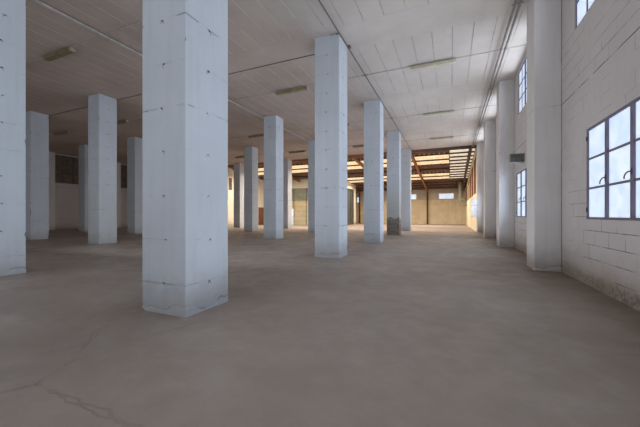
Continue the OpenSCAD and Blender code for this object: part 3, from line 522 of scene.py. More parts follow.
def roof_surface():
    """The slab: grey concrete edges, and on top a dark mineral sheet laid in metre strips."""
    s = Shader("slab_and_roofing", Roughness=0.9)
    tone = s.patches(0.6)
    concrete = s.mix(tone, (0.42, 0.41, 0.39), (0.55, 0.54, 0.52))
    s.colour = s.mix(tone, (0.22, 0.22, 0.22), (0.33, 0.32, 0.31))
    lap = (((s.x % 1.0) - 0.5).size() + (s.noise(1.5, 3.0) - 0.5) * 0.02).ease(0.465, 0.485)
    s.coat(lap * 0.6, (0.12, 0.12, 0.12))
    s.coat(s.noise(90.0, 3.0).ease(0.4, 0.6) * 0.3, (0.5, 0.49, 0.47))
    s.colour = s.mix(s.z.ease(SLAB_TOP - 0.02, SLAB_TOP - 0.005), concrete, s.colour)
    return s.finish(s.noise(60.0, 4.0) * 0.4 + lap, 0.004)


def painted_steel(name, tint, rust, gloss):
    """Paint on steel in uneven tones, with rust that breaks through in spots."""
    s = Shader(name)
    s.colour = s.mix(s.patches(5.0), [c * 0.8 for c in tint], [min(1, c * 1.12) for c in tint])
    start = 0.68 - rust * 0.4
    spots = s.noise(14.0, 6.0, 0.7).ease(start, start + 0.06)
    s.coat(spots * 0.85, s.mix(s.noise(60.0, 3.0), (0.17, 0.07, 0.035), (0.36, 0.17, 0.08)))
    return s.finish(s.noise(120.0, 3.0) * 0.4 + spots, 0.0008, Roughness=gloss + spots * 0.35)


def oxide_paint(name, dark_from):
    """Red oxide on steel, which turns dark towards the right-hand wall."""
    s = Shader(name, Roughness=0.6)
    tone = s.patches(4.0)
    along = (s.x + s.noise(1.0, 3.0) * 2.5).ease(dark_from, dark_from + 3.5)
    s.colour = s.mix(tone, (0.24, 0.10, 0.045), (0.36, 0.16, 0.07))
    s.coat(along, s.mix(tone, (0.055, 0.038, 0.028), (0.10, 0.065, 0.045)))
    return s.finish(s.noise(90.0, 3.0), 0.0008)


def coping():
    """Cast concrete in uneven tones, with a joint each metre."""
    s = Shader("coping_stone", Roughness=0.9)
    tone = s.noise(4.0, 5.0, 0.65).ease(0.3, 0.7)
    s.colour = s.mix(tone, (0.36, 0.35, 0.33), (0.56, 0.55, 0.52))
    joint = ((wall_run(s)[0] % 1.0) - 0.5).size().ease(0.493, 0.497)
    s.coat(joint * 0.8, (0.16, 0.15, 0.14))
    return s.finish(s.noise(60.0, 4.0) - joint, 0.004)


def frosted_glass():
    """Frosted glass in paler and bluer patches, which are painted light and shade of the daylight
    through it. Its room side glows softly with the daylight outside.
    """
    s = Shader("frosted_glass", Roughness=0.3, IOR=1.15, Transmission_Weight=0.35,
               Emission_Strength=0.40)
    # Painted light: the paler and bluer patches stand in for uneven daylight in the panes
    s.colour = s.mix(s.noise(6.0, 4.0).ease(0.35, 0.75), (0.86, 0.91, 0.96), (0.70, 0.81, 0.95))
    glow = s.mix(s.value("room"), (0, 0, 0), s.colour)
    return s.finish(s.noise(150.0, 2.0), 0.0006, Emission_Color=glow)


def dark_glass():
    """Dark brown panes with grime, as painted shade: the left windows look into a dark space."""
    s = Shader("dark_glass", Roughness=0.45)
    # Painted shade: the dark brown stands in for the dark space beyond the left windows
    s.colour = s.mix(s.patches(4.0), (0.10, 0.08, 0.062), (0.18, 0.145, 0.11))
    return s.finish(s.noise(40.0, 3.0), 0.001)


def lamp_covers():
    """Cream covers in uneven tones. Beyond the first row their undersides are olive brown: painted
    shade.
    """
    s = Shader("lamp_shell", Roughness=0.4)
    tone = s.patches(5.0)
    s.colour = s.mix(tone, (0.47, 0.43, 0.33), (0.62, 0.57, 0.45))
    # Painted shade on the undersides of the covers beyond the first row
    underside_shade = facing_down(s) * (ROW_X[0] - s.x).ease(0.2, 1.0)
    s.coat(underside_shade, s.mix(tone, (0.17, 0.125, 0.055), (0.27, 0.21, 0.11)))
    return s.finish(s.noise(90.0, 3.0), 0.0005)


def ceiling_conduit():
    """Conduits: painted over with the ceiling, but for the dark ones beside the first row and
    behind its second column."""
    s = Shader("ceiling_conduit", Roughness=0.6)
    tone = s.noise(6.0, 4.0).ease(0.3, 0.7)
    s.colour = s.mix(tone, (0.40, 0.37, 0.34), (0.52, 0.49, 0.46))
    first = (s.x - ROW_X[0] - COLUMN / 2).size().ease(0.10, 0.06)
    across = (s.y - LINE_Y[1] - COLUMN / 2).size().ease(0.10, 0.06)
    s.coat(first.most(across), s.mix(tone, (0.12, 0.10, 0.10), (0.19, 0.165, 0.16)))
    return s.finish(s.noise(60.0, 3.0), 0.0006)


def light_sheet():
    """Yellowed translucent roofing, darker where dirt lies in its ribs and greyer in the strip
    by the wall. Its underside glows with the daylight above it, and its top is dull."""
    s = Shader("skylight_sheet", Roughness=0.5, IOR=1.1, Transmission_Weight=0.35,
               Emission_Strength=0.35)
    dirt = s.noise(2.4, 5.0, 0.6, stretch=(0.4, 2.0, 1.0)).ease(0.45, 0.80)
    bands = s.mix(dirt, (1.0, 0.88, 0.64), (0.96, 0.62, 0.34))
    strip = s.mix(dirt, (0.92, 0.87, 0.76), (0.72, 0.64, 0.52))
    below = s.mix((SHED_RIGHT - s.x).ease(1.60, 1.50), bands, strip)
    under = facing_down(s)
    s.colour = s.mix(under, s.mix(dirt, (0.66, 0.62, 0.50), (0.44, 0.38, 0.28)), below)
    return s.finish(s.noise(80.0, 2.0), 0.0005, Emission_Color=s.mix(under, (0, 0, 0), below))


def roofing_sheet():
    """Weathered ribbed steel: zinc grey on top, and brown with rust underneath."""
    s = Shader("roof_sheet", Roughness=0.6, Metallic=0.2)
    rust = s.noise(1.7, 6.0, 0.65, stretch=(0.5, 2.0, 1.0)).ease(0.42, 0.7)
    s.colour = s.mix(rust * 0.5, (0.44, 0.44, 0.43), (0.33, 0.22, 0.15))
    s.coat(facing_down(s), s.mix(rust, (0.125, 0.078, 0.055), (0.18, 0.085, 0.050)))
    return s.finish(s.noise(30.0, 4.0), 0.001)


def tan_render():
    """Cement render: ochre below the window line and greyer above it, with runs and stains. The
    posts of the right wall are paler, and the panels sunk between them are dark red-brown."""
    s = Shader("tan_render", Roughness=0.85)
    tone = s.patches(0.9)
    window_line = FLOOR + 2.78
    grey = s.mix(tone, (0.42, 0.36, 0.29), (0.52, 0.46, 0.38))
    s.colour = s.mix(tone, (0.58, 0.47, 0.31), (0.70, 0.59, 0.42))
    s.coat(s.z.ease(window_line - 0.02, window_line + 0.02), grey)
    depth = s.x - SHED_RIGHT
    s.coat(depth.ease(-0.02, -0.005), s.mix(tone, (0.66, 0.56, 0.38), (0.76, 0.68, 0.50)))
    outside = depth.ease(0.20, 0.22).most((s.y - FAR_FACE).ease(0.20, 0.22))
    sunk = depth.ease(0.030, 0.040) * (FAR_FACE - s.y).ease(-0.005, 0.005) * (1 - outside)
    s.coat(sunk, s.mix(tone, (0.15, 0.055, 0.032), (0.23, 0.095, 0.05)))
    s.coat(outside, grey)
    runs = s.noise(1.8, 4.0, 0.6, stretch=(0.5, 0.5, 4.0)).ease(0.5, 0.75)
    s.coat(runs * 0.25, (0.36, 0.29, 0.2))
    return s.finish(s.noise(40.0, 4.0), 0.003)


def gate_paint():
    """Gate panels: grey-green at the top, which is painted shade, then tan and yellow below, which
    is painted sunlight, and dark stiles. The gate in the return wall is dark all over: painted shade."""
    s = Shader("gate_paint", Roughness=0.55)
    height = s.z - FLOOR + (s.noise(3.0) - 0.5) * 0.04
    tone = s.patches(3.0)
    s.colour = s.mix(tone, (0.50, 0.44, 0.31), (0.60, 0.53, 0.38))
    # Painted light: paler tan panels from 1.6 m, and painted shade in grey-green above 2.5 m
    s.coat(height.ease(1.60, 1.68), s.mix(tone, (0.56, 0.45, 0.28), (0.66, 0.54, 0.36)))
    s.coat(height.ease(2.48, 2.56), s.mix(tone, (0.22, 0.24, 0.19), (0.31, 0.33, 0.26)))
    seam = (((height + 0.08) % 0.5) - 0.25).size().ease(0.228, 0.240)
    s.coat(seam * 0.6, (0.20, 0.13, 0.08))
    depth = s.y - GATE_FACE
    # Painted shade: the gate in the return wall is dark all over
    of_return = depth.ease(0.28, 0.32)
    s.coat(of_return, s.mix(tone, (0.050, 0.048, 0.044), (0.085, 0.080, 0.074)))
    stile = s.mix(tone, (0.035, 0.065, 0.045), (0.06, 0.105, 0.075))
    s.coat(depth.ease(0.058, 0.052), stile)
    s.coat(of_return * (s.x - RETURN_FACE).ease(-0.058, -0.050), stile)
    return s.finish(s.noise(60.0, 3.0), 0.0008)


def zinc():
    """Dull zinc-coated sheet with its spangle."""
    s = Shader("duct_zinc", Roughness=0.5, Metallic=0.55)
    s.set(Base_Color=s.mix(s.cells(60.0).ease(0.1, 0.6), (0.27, 0.26, 0.21), (0.36, 0.35, 0.29)))
    return s.material


def dark_holes():
    """The inside of tie holes and knocks, in near-black that is painted shade of their hollows; the
    wires under the holes share it.
    """
    s = Shader("hole_dark", Roughness=0.95)
    # Painted shade: near-black stands in for the hollow of each hole
    s.set(Base_Color=s.mix(s.noise(80.0), (0.03, 0.03, 0.035), (0.12, 0.11, 0.10)))
    return s.material


pane_glass = frosted_glass()
column_white = white_paint("white_paint", (0.540, 0.568, 0.612))
pilaster_white = white_paint("white_paint_warm", (0.64, 0.61, 0.60))
block_white = painted_block("painted_block", (0.575, 0.53, 0.52))
conduit_grey = painted_steel("conduit_metal", (0.23, 0.205, 0.20), 0.12, 0.5)
FINISHES = {
    "hall_floor shed_floor": screed(),
    "right_wall left_wall front_wall rear_wall parapet": block_white,
    "shed_left_wall gate_wall gate_lintels return_wall":
        painted_block("painted_block_cream", (0.80, 0.74, 0.62)),
    "roof_slab": roof_surface(),
    "parapet_coping window_sills": coping(),
    "right_lower_windows right_upper_windows front_windows":
        painted_steel("window_steel", (0.155, 0.135, 0.20), 0.08, 0.4),
    "left_windows": painted_steel("left_window_steel", (0.085, 0.065, 0.055), 0.15, 0.5),
    "far_windows": painted_steel("window_white", (0.50, 0.44, 0.36), 0.05, 0.5),
    "window_glass": pane_glass,
    "ceiling_lamps": lamp_covers(),
    "ceiling_conduits": ceiling_conduit(),
    "wall_pipes wall_unit": conduit_grey,
    "meter_cabinets": painted_steel("cabinet_white", (0.86, 0.80, 0.76), 0.02, 0.35),
    "shed_duct": zinc(),
    "shed_ledger": oxide_paint("ledger_steel", 9.0),
    "shed_rafters": oxide_paint("rafter_steel", 10.8),
    "shed_posts shed_purlins": painted_steel("purlin_steel", (0.085, 0.040, 0.022), 0.2, 0.6),
    "shed_roof_sheets": roofing_sheet(),
    "shed_skylights": light_sheet(),
    "shed_right_wall far_wall": tan_render(),
    "sectional_gates": gate_paint(),
    "side_door_frame side_door": painted_steel("brown_paint", (0.20, 0.075, 0.035), 0.1, 0.5),
}
for names, material in FINISHES.items():
    for name in names.split():
        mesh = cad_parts[name].data
        mesh.materials.clear()
        mesh.materials.append(material)


# Columns and pilasters


def side_steps(length, step):
    """Distances along a side: close together near both ends, and step apart between."""
    near = np.array([0, 0.004, 0.010, 0.020, 0.036, 0.060])
    middle = np.linspace(near[-1], length - near[-1], max(2, round((length - 0.12) / step)) + 1)
    return np.concatenate([near[:-1], middle, (length - near[:-1])[::-1]])


def outline(low, high, radius, step):
    """Points round a rectangle with round corners, each with its outward direction and its
    distance from the nearest corner."""
    spots, ways, reach = [], [], []
    size = np.subtract(high, low)
    start = np.array([low, [high[0], low[1]], high, [low[0], high[1]]], float)
    along = np.array([[1, 0], [0, 1], [-1, 0], [0, -1]], float)
    for side in range(4):
        out = np.array([along[side][1], -along[side][0]])
        length = size[side % 2] - 2 * radius
        t = side_steps(length, step)
        spots.append(start[side] + along[side] * (radius + t)[:, None])
        ways.append(np.repeat(out[None], len(t), 0))
        reach.append(np.minimum(t, length - t))
        angles = np.radians([30, 60])[:, None]
        turned = out * np.cos(angles) + along[side] * np.sin(angles)
        centre = start[(side + 1) % 4] - radius * (along[side] + out)
        spots.append(centre + turned * radius)
        ways.append(turned)
        reach.append(np.zeros(2))
    return np.concatenate(spots), np.concatenate(ways), np.concatenate(reach)


def shaft(build, low, high, seed, step, rise, lines, depth, wear=1.0, soiled=0.0):
    """A cast shaft from floor to ceiling. Its skin moves in from the drawn outline by the form
    joints, by slow waves, and by chips that break the corners where noise up the edge is
    high, more of them near the floor. At its foot a ragged collar of mortar stands out, and
    the line along the collar's top is dark with painted shade in the crack there."""
    ring, way, reach = outline(low, high, 0.008, step)
    close = (lines[:, None] + np.array([-0.010, -0.004, 0, 0.004, 0.010])).ravel()
    foot = np.arange(0, 0.13, min(rise * 0.4, 0.03))
    z = np.unique(np.concatenate([np.arange(0.13, CLEAR, rise), close, foot, [CLEAR]]))[:, None]
    x, y = ring[:, 0][None], ring[:, 1][None]
    nearest = np.abs(z - lines[None]).min(1)[:, None]
    which = np.abs(z - lines[None]).argmin(1)[:, None] + seed
    line = ease(nearest, 0.012, 0.003) * depth[which % len(depth)]
    line = line * ease(rough(x * 3, y * 3, z * 3, seed), 0.35, 0.6)
    wave = (rough(x * 1.5, y * 1.5, z * 1.5, seed + 5) - 0.5) * 0.004
    corner = np.exp(-reach[None] / 0.012)
    knock = rough(x * 5, y * 5, z * 9, seed + 9)
    start = 0.72 - 0.08 * ease(z, 0.5, 0.05)
    chip = ease(knock, start, start + 0.08) * corner * wear
    collar_top = 0.02 + 0.08 * ease(rough(x * 4, y * 4, 0 * x, seed + 13), 0.25, 0.72)
    lumps = rough(x * 14, y * 14, z * 14, seed + 21)
    collar = ease(z, collar_top, collar_top - 0.012) * (0.4 + 0.9 * lumps)
    # Painted shade: the crack along the collar's top is marked dark through the line value
    crack = ease(np.abs(z - collar_top - 0.004), 0.016, 0.004)
    crack = crack * ease(rough(x * 9, y * 9, z * 9, seed + 15), 0.36, 0.50)
    inward = line * 0.003 + np.abs(wave) + chip * 0.015 - collar * 0.006 + crack * 0.004
    damp = ease(z, 1.30, 0.45) * soiled**3
    level = np.broadcast_to(z + FLOOR, inward.shape)
    points = np.concatenate([ring[None] - way[None] * inward[..., None], level[..., None]], -1)
    build.grid(points, wrap=True, bare=chip * 1.2, line=np.maximum(line, crack), stain=damp,
               soiled=ease(z, 3.2, 1.0) * soiled)
    for end in (0, -1):
        lid = np.stack([points[end], np.repeat(points[end].mean(0)[None], len(ring), 0)])
        build.grid(lid, wrap=True, flip=end == 0)


# How far each form joint goes in, and how soiled two of the columns are, by row and line
LINE_DEPTH = np.array([0.6, 0.3, 0.3, 0.1, 1.0, 0.35, 1.0, 0.3, 0.6, 0.2, 0.5])
SOILED = {(0, 3): 1.0, (2, 1): 0.35}


def column_rows():
    """Each row of columns, with finer skins nearer the camera. Two columns are soiled."""
    for number, row in enumerate(ROWS):
        build = Build()
        for k, y in enumerate(LINE_Y):
            nearest = number == 0 and k == 0
            step, rise = (0.02, 0.02) if nearest else (0.05, 0.05) if number < 2 else (0.12, 0.1)
            middle, half = np.array([ROW_X[number], y]), COLUMN / 2
            shaft(build, middle - half, middle + half, number * 17 + k * 3, step, rise,
                  FORM_LINES, LINE_DEPTH, soiled=SOILED.get((number, k), 0.0))
        build.piece("shafts_row_%d" % (number + 1), column_white, "white_paint", [row])


def pilasters():
    """The pilasters of the three walls, whose hidden backs lie on the wall."""
    for name, step in (("right_pilasters", 0.05), ("left_pilasters", 0.12),
                       ("front_pilasters", 0.12)):
        build = Build()
        low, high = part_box(name)
        along = 0 if name == "front_pilasters" else 1
        for k, (start, end) in enumerate(stretches(corners(name), along, COLUMN_GAP)):
            a, b = [low.x, low.y], [high.x, high.y]
            a[along], b[along] = start, end
            shaft(build, a, b, 101 + 13 * k + 5 * along, step, step,
                  np.array([POUR]), np.array([1.0]), 0.3)
        build.piece(name[:-1] + "_shafts", pilaster_white, "white_paint", [name])


column_rows()
pilasters()


# Tie holes and knocks in the columns


def blots(build, centres, outward, wide, tall, seed):
    """Ragged flat lenses on a surface. Nine rim points lie round each centre, at a random share
    of its half width and half height, between a front centre 0.8 mm out and a back one in."""
    rng = np.random.default_rng(seed)
    count, sides = len(centres), 9
    side = np.cross(outward, UP)
    turn = np.arange(sides) * 2 * np.pi / sides
    share = rng.uniform(0.5, 1.15, (count, sides))
    across = np.cos(turn) * share * np.broadcast_to(wide, count)[:, None]
    up = np.sin(turn) * share * np.broadcast_to(tall, count)[:, None]
    rim = centres[:, None] + across[..., None] * side[:, None] + up[..., None] * UP
    out = outward[:, None] * 0.0008
    points = np.concatenate([centres[:, None] + out, rim, centres[:, None] - out], 1)
    ring = 1 + np.arange(sides)
    after = 1 + (np.arange(sides) + 1) % sides
    fans = np.concatenate([np.stack([0 * ring, after, ring], 1),
                           np.stack([0 * ring + sides + 1, ring, after], 1)])
    tris = (fans[None] + np.arange(count)[:, None, None] * (sides + 2)).reshape(-1, 3)
    build.add(points.reshape(-1, 3), tris=tris)


def tie_holes():
    """The dark mouths of form ties, near the middle of each face at every form joint, larger
    higher up and often with two bent wires under them, and a few nail holes."""
    build = Build()
    rng = np.random.default_rng(5)
    count = len(FORM_LINES)
    tall = np.zeros((count, 3))
    tall[:, 2] = FLOOR + FORM_LINES
    grown = 1 + 0.8 * FORM_LINES / CLEAR
    faces = np.array([[1, 0, 0], [-1, 0, 0], [0, 1, 0], [0, -1, 0]], float)
    for x in ROW_X[:3]:
        for y in LINE_Y:
            for out in faces:
                side = np.cross(out, UP)
                outward = np.repeat(out[None], count, 0)
                middle = np.array([x, y, 0]) + out * (COLUMN / 2 - 0.0005)
                spots = middle + tall + side * rng.normal(0, 0.018, (count, 1))
                spots += UP * rng.normal(0, 0.006, (count, 1))
                size = rng.uniform(0.009, 0.0145, count) * grown
                blots(build, spots, outward, size, size * 0.9, int(rng.integers(1e6)))
                for way in (-1, 1):
                    wired = rng.random(count) < 0.6
                    at = spots + side * way * size[:, None] * 1.1 - UP * size[:, None]
                    blots(build, at[wired], outward[wired], 0.0045,
                          (size * 1.7)[wired], int(rng.integers(1e6)))
                nails = middle + side * rng.uniform(-0.26, 0.26, (5, 1))
                nails = nails + UP * (FLOOR + rng.uniform(1.0, 3.2, (5, 1)))
                blots(build, nails, outward[:5], 0.0045, 0.005, int(rng.integers(1e6)))
    for y in LINE_Y:
        levels = FLOOR + np.array([0.42, 1.05, 1.9, POUR, 4.1])
        spots = np.stack([0 * levels + PIER_FACE + 0.0005, 0 * levels + y + 0.04, levels], 1)
        blots(build, spots, np.repeat([[-1.0, 0, 0]], len(levels), 0), 0.007, 0.006,
              int(y * 10) + 500)
    build.piece("tie_holes", dark_holes(), "white_paint")


tie_holes()


# Block walls


def cut_out(rects, hole):
    """Rectangles (u0, u1, v0, v1) with a rectangular hole taken out of them all."""
    kept = []
    for u0, u1, v0, v1 in rects:
        a, b, c, d = hole
        if u1 <= a or u0 >= b or v1 <= c or v0 >= d:
            kept.append((u0, u1, v0, v1))
            continue
        parts = [(u0, a, v0, v1), (b, u1, v0, v1),
                 (max(u0, a), min(u1, b), v0, c), (max(u0, a), min(u1, b), d, v1)]
        kept += [p for p in parts if p[1] - p[0] > 0.012 and p[3] - p[2] > 0.012]
    return kept


def block_faces(run, holes, place, seed, build):
    """The faces of the blocks of one wall, each standing a little off the mortar: a sloping rim
    rises from the joint to a face whose corners lie at slightly different depths."""
    rng = np.random.default_rng(seed)
    rects = []
    for course in range(math.ceil(CLEAR / BLOCK_H)):
        bottom, top = course * BLOCK_H, min((course + 1) * BLOCK_H, CLEAR)
        first = math.floor(run[0] / BLOCK_L - 0.5 * (course % 2)) * BLOCK_L
        first += 0.5 * BLOCK_L * (course % 2)
        starts = np.arange(first, run[1], BLOCK_L)
        rects += [(max(s, run[0]) + JOINT / 2, min(s + BLOCK_L, run[1]) - JOINT / 2,
                   bottom + JOINT / 2, top - JOINT / 2) for s in starts
                  if min(s + BLOCK_L, run[1]) - max(s, run[0]) > 0.03]
    for gap in holes:
        rects = cut_out(rects, gap)
    r = np.array(rects)
    u = np.stack([r[:, 0], r[:, 1], r[:, 1], r[:, 0]], 1)
    v = np.stack([r[:, 2], r[:, 2], r[:, 3], r[:, 3]], 1)
    middle_u, middle_v = u.mean(1)[:, None], v.mean(1)[:, None]
    rim = 0.003
    top_u = u + np.sign(middle_u - u) * rim * rng.uniform(0.5, 1.8, u.shape)
    top_v = v + np.sign(middle_v - v) * rim * rng.uniform(0.5, 1.8, u.shape)
    lift = rng.uniform(0.0005, 0.0013, (len(r), 1)) + rng.uniform(0, 0.0005, u.shape)
    below = place(u, v + FLOOR, np.full_like(u, -0.001))
    above = place(top_u, top_v + FLOOR, lift)
    points = np.concatenate([below, above], 1).reshape(-1, 3)
    sides = [[n, (n + 1) % 4, 4 + (n + 1) % 4, 4 + n] for n in range(4)]
    quads = np.array([[4, 5, 6, 7], [3, 2, 1, 0], *sides])
    quads = (quads[None] + np.arange(len(r))[:, None, None] * 8).reshape(-1, 4)
    build.add(points, quads)


def window_rects(node, axis, high):
    """(start, end, bottom, top) above the floor of each window of a node in the higher or lower
    half of the hall, widened a little."""
    points = corners(node)
    points = points[(points[:, 2] > FLOOR + CLEAR / 2) == high]
    bottom, top = points[:, 2].min() - FLOOR, points[:, 2].max() - FLOOR
    margin = 0.012
    return [(a - margin, b + margin, bottom - margin, top + margin)
            for a, b in stretches(points, axis, WINDOW_GAP)]


# For each wall: the axis that it runs along, its windows by half of the height, a gap beside
# them, its seed, and a point of its face from the run, the height and the way out
WALLS = {
    "right": (1, {"right_lower_windows": (False,), "right_upper_windows": (True,)}, 0, 3,
              lambda u, v, out: np.stack([RIGHT_FACE - out, u, v], -1)),
    "left": (1, {"left_windows": (True,)}, 0.01, 4,
             lambda u, v, out: np.stack([LEFT_FACE + out, -u, v], -1)),
    "front": (0, {"front_windows": (False, True)}, 0, 6,
              lambda u, v, out: np.stack([-u, FRONT_FACE + out, v], -1)),
}


def wall_blocks():
    """Block faces on three walls of the hall, round their windows and pilasters, without the
    left wall's window in the shed. The left and front walls count their run backwards, so that
    their faces turn to the hall."""
    for side, (axis, nodes, beside, seed, place) in WALLS.items():
        run = (FRONT_FACE, HALL_BACK) if axis else (LEFT_FACE, RIGHT_FACE)
        holes = [(a - beside, b + beside, c, d) for node, halves in nodes.items()
                 for high in halves for a, b, c, d in window_rects(node, axis, high)
                 if b < run[1]]
        piers = stretches(corners(side + "_pilasters"), axis, COLUMN_GAP)
        if side == "front":
            piers += [(LEFT_FACE, LEFT_PIER_FACE), (PIER_FACE, RIGHT_FACE)]
        holes += [(a, b, 0, CLEAR) for a, b in piers]
        if side != "right":
            run = (-run[1], -run[0])
            holes = [(-b, -a, c, d) for a, b, c, d in holes]
        build = Build()
        block_faces(run, holes, place, seed, build)
        build.piece(side + "_wall_blocks", block_white, "painted_block")


wall_blocks()


# Window panes and fittings


def windows(node, axis):
    """(start, end, bottom, top, near, far) of each window of a node: its stretch along the wall,
    its heights, and its faces across the wall."""
    points = corners(node)
    across = 1 - axis
    found = []
    for a, b in stretches(points, axis, WINDOW_GAP):
        own = points[(points[:, axis] > a - 0.01) & (points[:, axis] < b + 0.01)]
        for c, d in stretches(own, 2, 1.0):
            part = own[(own[:, 2] > c - 0.01) & (own[:, 2] < d + 0.01)]
            found.append((a, b, c, d, part[:, across].min(), part[:, across].max()))
    return found


def panes():
    """A thin sheet in each window, let into its bars, in two layers, of which the one towards
    the room glows: frosted to the right, the front and the far side, dark to the left."""
    inside = 0.01
    bright, dark = Build(), Build()
    for node, axis, outward in (("right_lower_windows", 1, 1), ("right_upper_windows", 1, 1),
                                ("left_windows", 1, -1), ("front_windows", 0, -1),
                                ("far_windows", 0, 1)):
        build = dark if node == "left_windows" else bright
        for a, b, c, d, near, far in windows(node, axis):
            room = far - FRAME_D if outward > 0 else near + FRAME_D
            low, high = [a + inside] * 2 + [c + inside], [b - inside] * 2 + [d - inside]
            for glow, depth in ((1.0, PANE_IN), (0.0, PANE_IN + PANE_T / 2)):
                skin = np.sort(room + outward * np.array([depth, depth + PANE_T / 2]))
                low[1 - axis], high[1 - axis] = skin
                build.boxes(low, high, 0.0005, room=glow)
    bright.piece("window_panes", pane_glass, "frosted_glass", ["window_glass"])
    dark.piece("dark_panes", dark_glass(), "frosted_glass")


def window_fittings():
    """Hook handles on the wide bars of the lower windows, and hinge knuckles at their ends:
    each handle is a bar bent through a quarter circle, on a small plate."""
    build = Build()
    turn = np.linspace(0, np.pi * 0.56, 14)
    for a, b, c, d, _, far in windows("right_lower_windows", 1):
        room = far - FRAME_D
        pane_h = (d - c) / 3
        for share in (0.25, 0.50, 0.75):
            y, z = a + (b - a) * share, c + pane_h + 0.14
            build.boxes((room - 0.020, y - 0.013, z - 0.075), (room + 0.002, y + 0.013, z + 0.005),
                        0.003)
            arc = np.stack([room - 0.028 - 0.010 * np.sin(turn), y + 0.092 * np.sin(turn),
                            z - 0.097 + 0.064 * np.cos(turn)], 1)
            build.tube(arc, np.linspace(0.0085, 0.0065, len(turn)), 10)
        for y in (a, b):
            for z in (c + 0.14, d - 0.14):
                stem = np.array([[room - 0.006, y, z + h] for h in (-0.032, -0.03, 0, 0.03, 0.032)])
                build.tube(stem, 0.010, 12)
    fitting_dark = painted_steel("fitting_dark", (0.085, 0.075, 0.10), 0.1, 0.4)
    build.piece("window_fittings", fitting_dark, "window_steel")


panes()
window_fittings()


# Pipes and louvred unit


def pipe_runs():
    """The two pipes under the ceiling: circles carried along the hall, wider at a coupling every
    three metres, on a flat bar and a rod at each line of columns."""
    build = Build()
    low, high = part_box("wall_pipes")
    middle, z = (low.x + high.x) / 2, SOFFIT - PIPE_DROP
    couplings = np.arange(FRONT_FACE + 1.9, HALL_BACK - 0.2, 3.0)
    y = np.concatenate([[FRONT_FACE], (couplings[:, None] + [-0.041, -0.04, 0.04, 0.041]).ravel(),
                        [HALL_BACK]])
    radius = np.concatenate([[PIPE_R], np.tile([PIPE_R, 0.034, 0.034, PIPE_R], len(couplings)),
                             [PIPE_R]])
    for x in (middle - PIPE_APART / 2, middle + PIPE_APART / 2):
        build.tube(np.stack([0 * y + x, y, 0 * y + z], 1), radius, 16)
    for line in LINE_Y:
        build.boxes((low.x - 0.02, line - 0.02, z - 0.037), (high.x + 0.02, line + 0.02, z - 0.029),
                    0.002)
        rod = [[middle, line, h] for h in (z - 0.036, z - 0.035, SOFFIT - 0.011, SOFFIT - 0.01)]
        build.tube(rod, 0.007, 12)
        build.boxes((middle - 0.04, line - 0.03, SOFFIT - 0.012), (middle + 0.04, line + 0.03, SOFFIT),
                    0.003)
    build.piece("wall_pipe_runs", conduit_grey, "conduit_metal", ["wall_pipes"])


def louvred_unit():
    """A small case on the wall: four plates round seven slats, which face along the hall, and a
    back plate."""
    build = Build()
    low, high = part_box("wall_unit")
    x0, x1 = high.x - 0.345, high.x
    y0, y1 = low.y - 0.02, low.y + 0.19
    z0, z1 = low.z - 0.09, low.z + 0.15
    rim = 0.014
    build.boxes([(x0, y0, z0), (x0, y0, z1 - rim), (x0, y0, z0 + rim), (x1 - rim, y0, z0 + rim),
                 (x0 + rim, y1 - rim, z0 + rim)],
                [(x1, y1, z0 + rim), (x1, y1, z1), (x0 + rim, y1, z1 - rim), (x1, y1, z1 - rim),
                 (x1 - rim, y1, z1 - rim)], 0.003)
    at = np.linspace(z0 + rim, z1 - rim, 8)[:-1]
    ones = np.ones_like(at)
    build.boxes(np.stack([ones * (x0 + rim), ones * (y0 + 0.01), at + 0.006], 1),
                np.stack([ones * (x1 - rim), ones * (y0 + 0.05), at + 0.017], 1), 0.002)
    unit_grey = painted_steel("unit_grey", (0.27, 0.255, 0.235), 0.05, 0.45)
    build.piece("louvred_case", unit_grey, "conduit_metal", ["wall_unit"])


PIPE_DROP, PIPE_R, PIPE_APART = 0.100, 0.027, 0.092
pipe_runs()
louvred_unit()


# Ceiling


def ceiling_planks():
    """The undersides of the precast planks: long flat strips along the hall, 2 mm to 6 mm below
    the slab, with a strip across them on every line of columns."""
    build = Build()
    rng = np.random.default_rng(8)
    lines = [LINE_Y[0] - BAY, *LINE_Y]
    edge = RIGHT_FACE - np.arange(math.ceil((RIGHT_FACE - LEFT_FACE) / PLANK_W)) * PLANK_W
    gap = 0.003
    low_x, high_x = np.maximum(edge - PLANK_W, LEFT_FACE) + gap, edge - gap
    wide = high_x - low_x > 0.05
    low_x, high_x = low_x[wide], high_x[wide]
    for start, end in zip(lines[:-1], lines[1:]):
        deep = SOFFIT - 0.004 + rng.uniform(-0.0015, 0.0015, len(low_x))
        near, far = max(start + BEAM_HALF, FRONT_FACE), min(end - BEAM_HALF, HALL_BACK)
        low = np.stack([low_x, 0 * low_x + near, deep], 1)
        high = np.stack([high_x, 0 * low_x + far, 0 * low_x + SOFFIT + 0.002], 1)
        build.boxes(low, high, 0.004)
    for line in lines:
        near = max(line - BEAM_HALF + 0.002, FRONT_FACE)
        far = min(line + BEAM_HALF - 0.002, HALL_BACK)
        if far - near > 0.05:
            build.boxes((LEFT_FACE, near, SOFFIT - 0.0045), (RIGHT_FACE, far, SOFFIT + 0.002), 0.004)
    build.piece("ceiling_planks", ceiling_paint(), "soffit_concrete")


ceiling_planks()


# Camera, lights, ground and background

# The camera as fitted to the photograph: metres and degrees, and pixels of its 640 wide frame
CAMERA_AT = (11.743, -17.555, FLOOR + 1.020)
YAW = 23.40
FOCAL_PX, IMAGE_W, HORIZON_BELOW = 303.485, 640, 1.65
SENSOR = 36.0


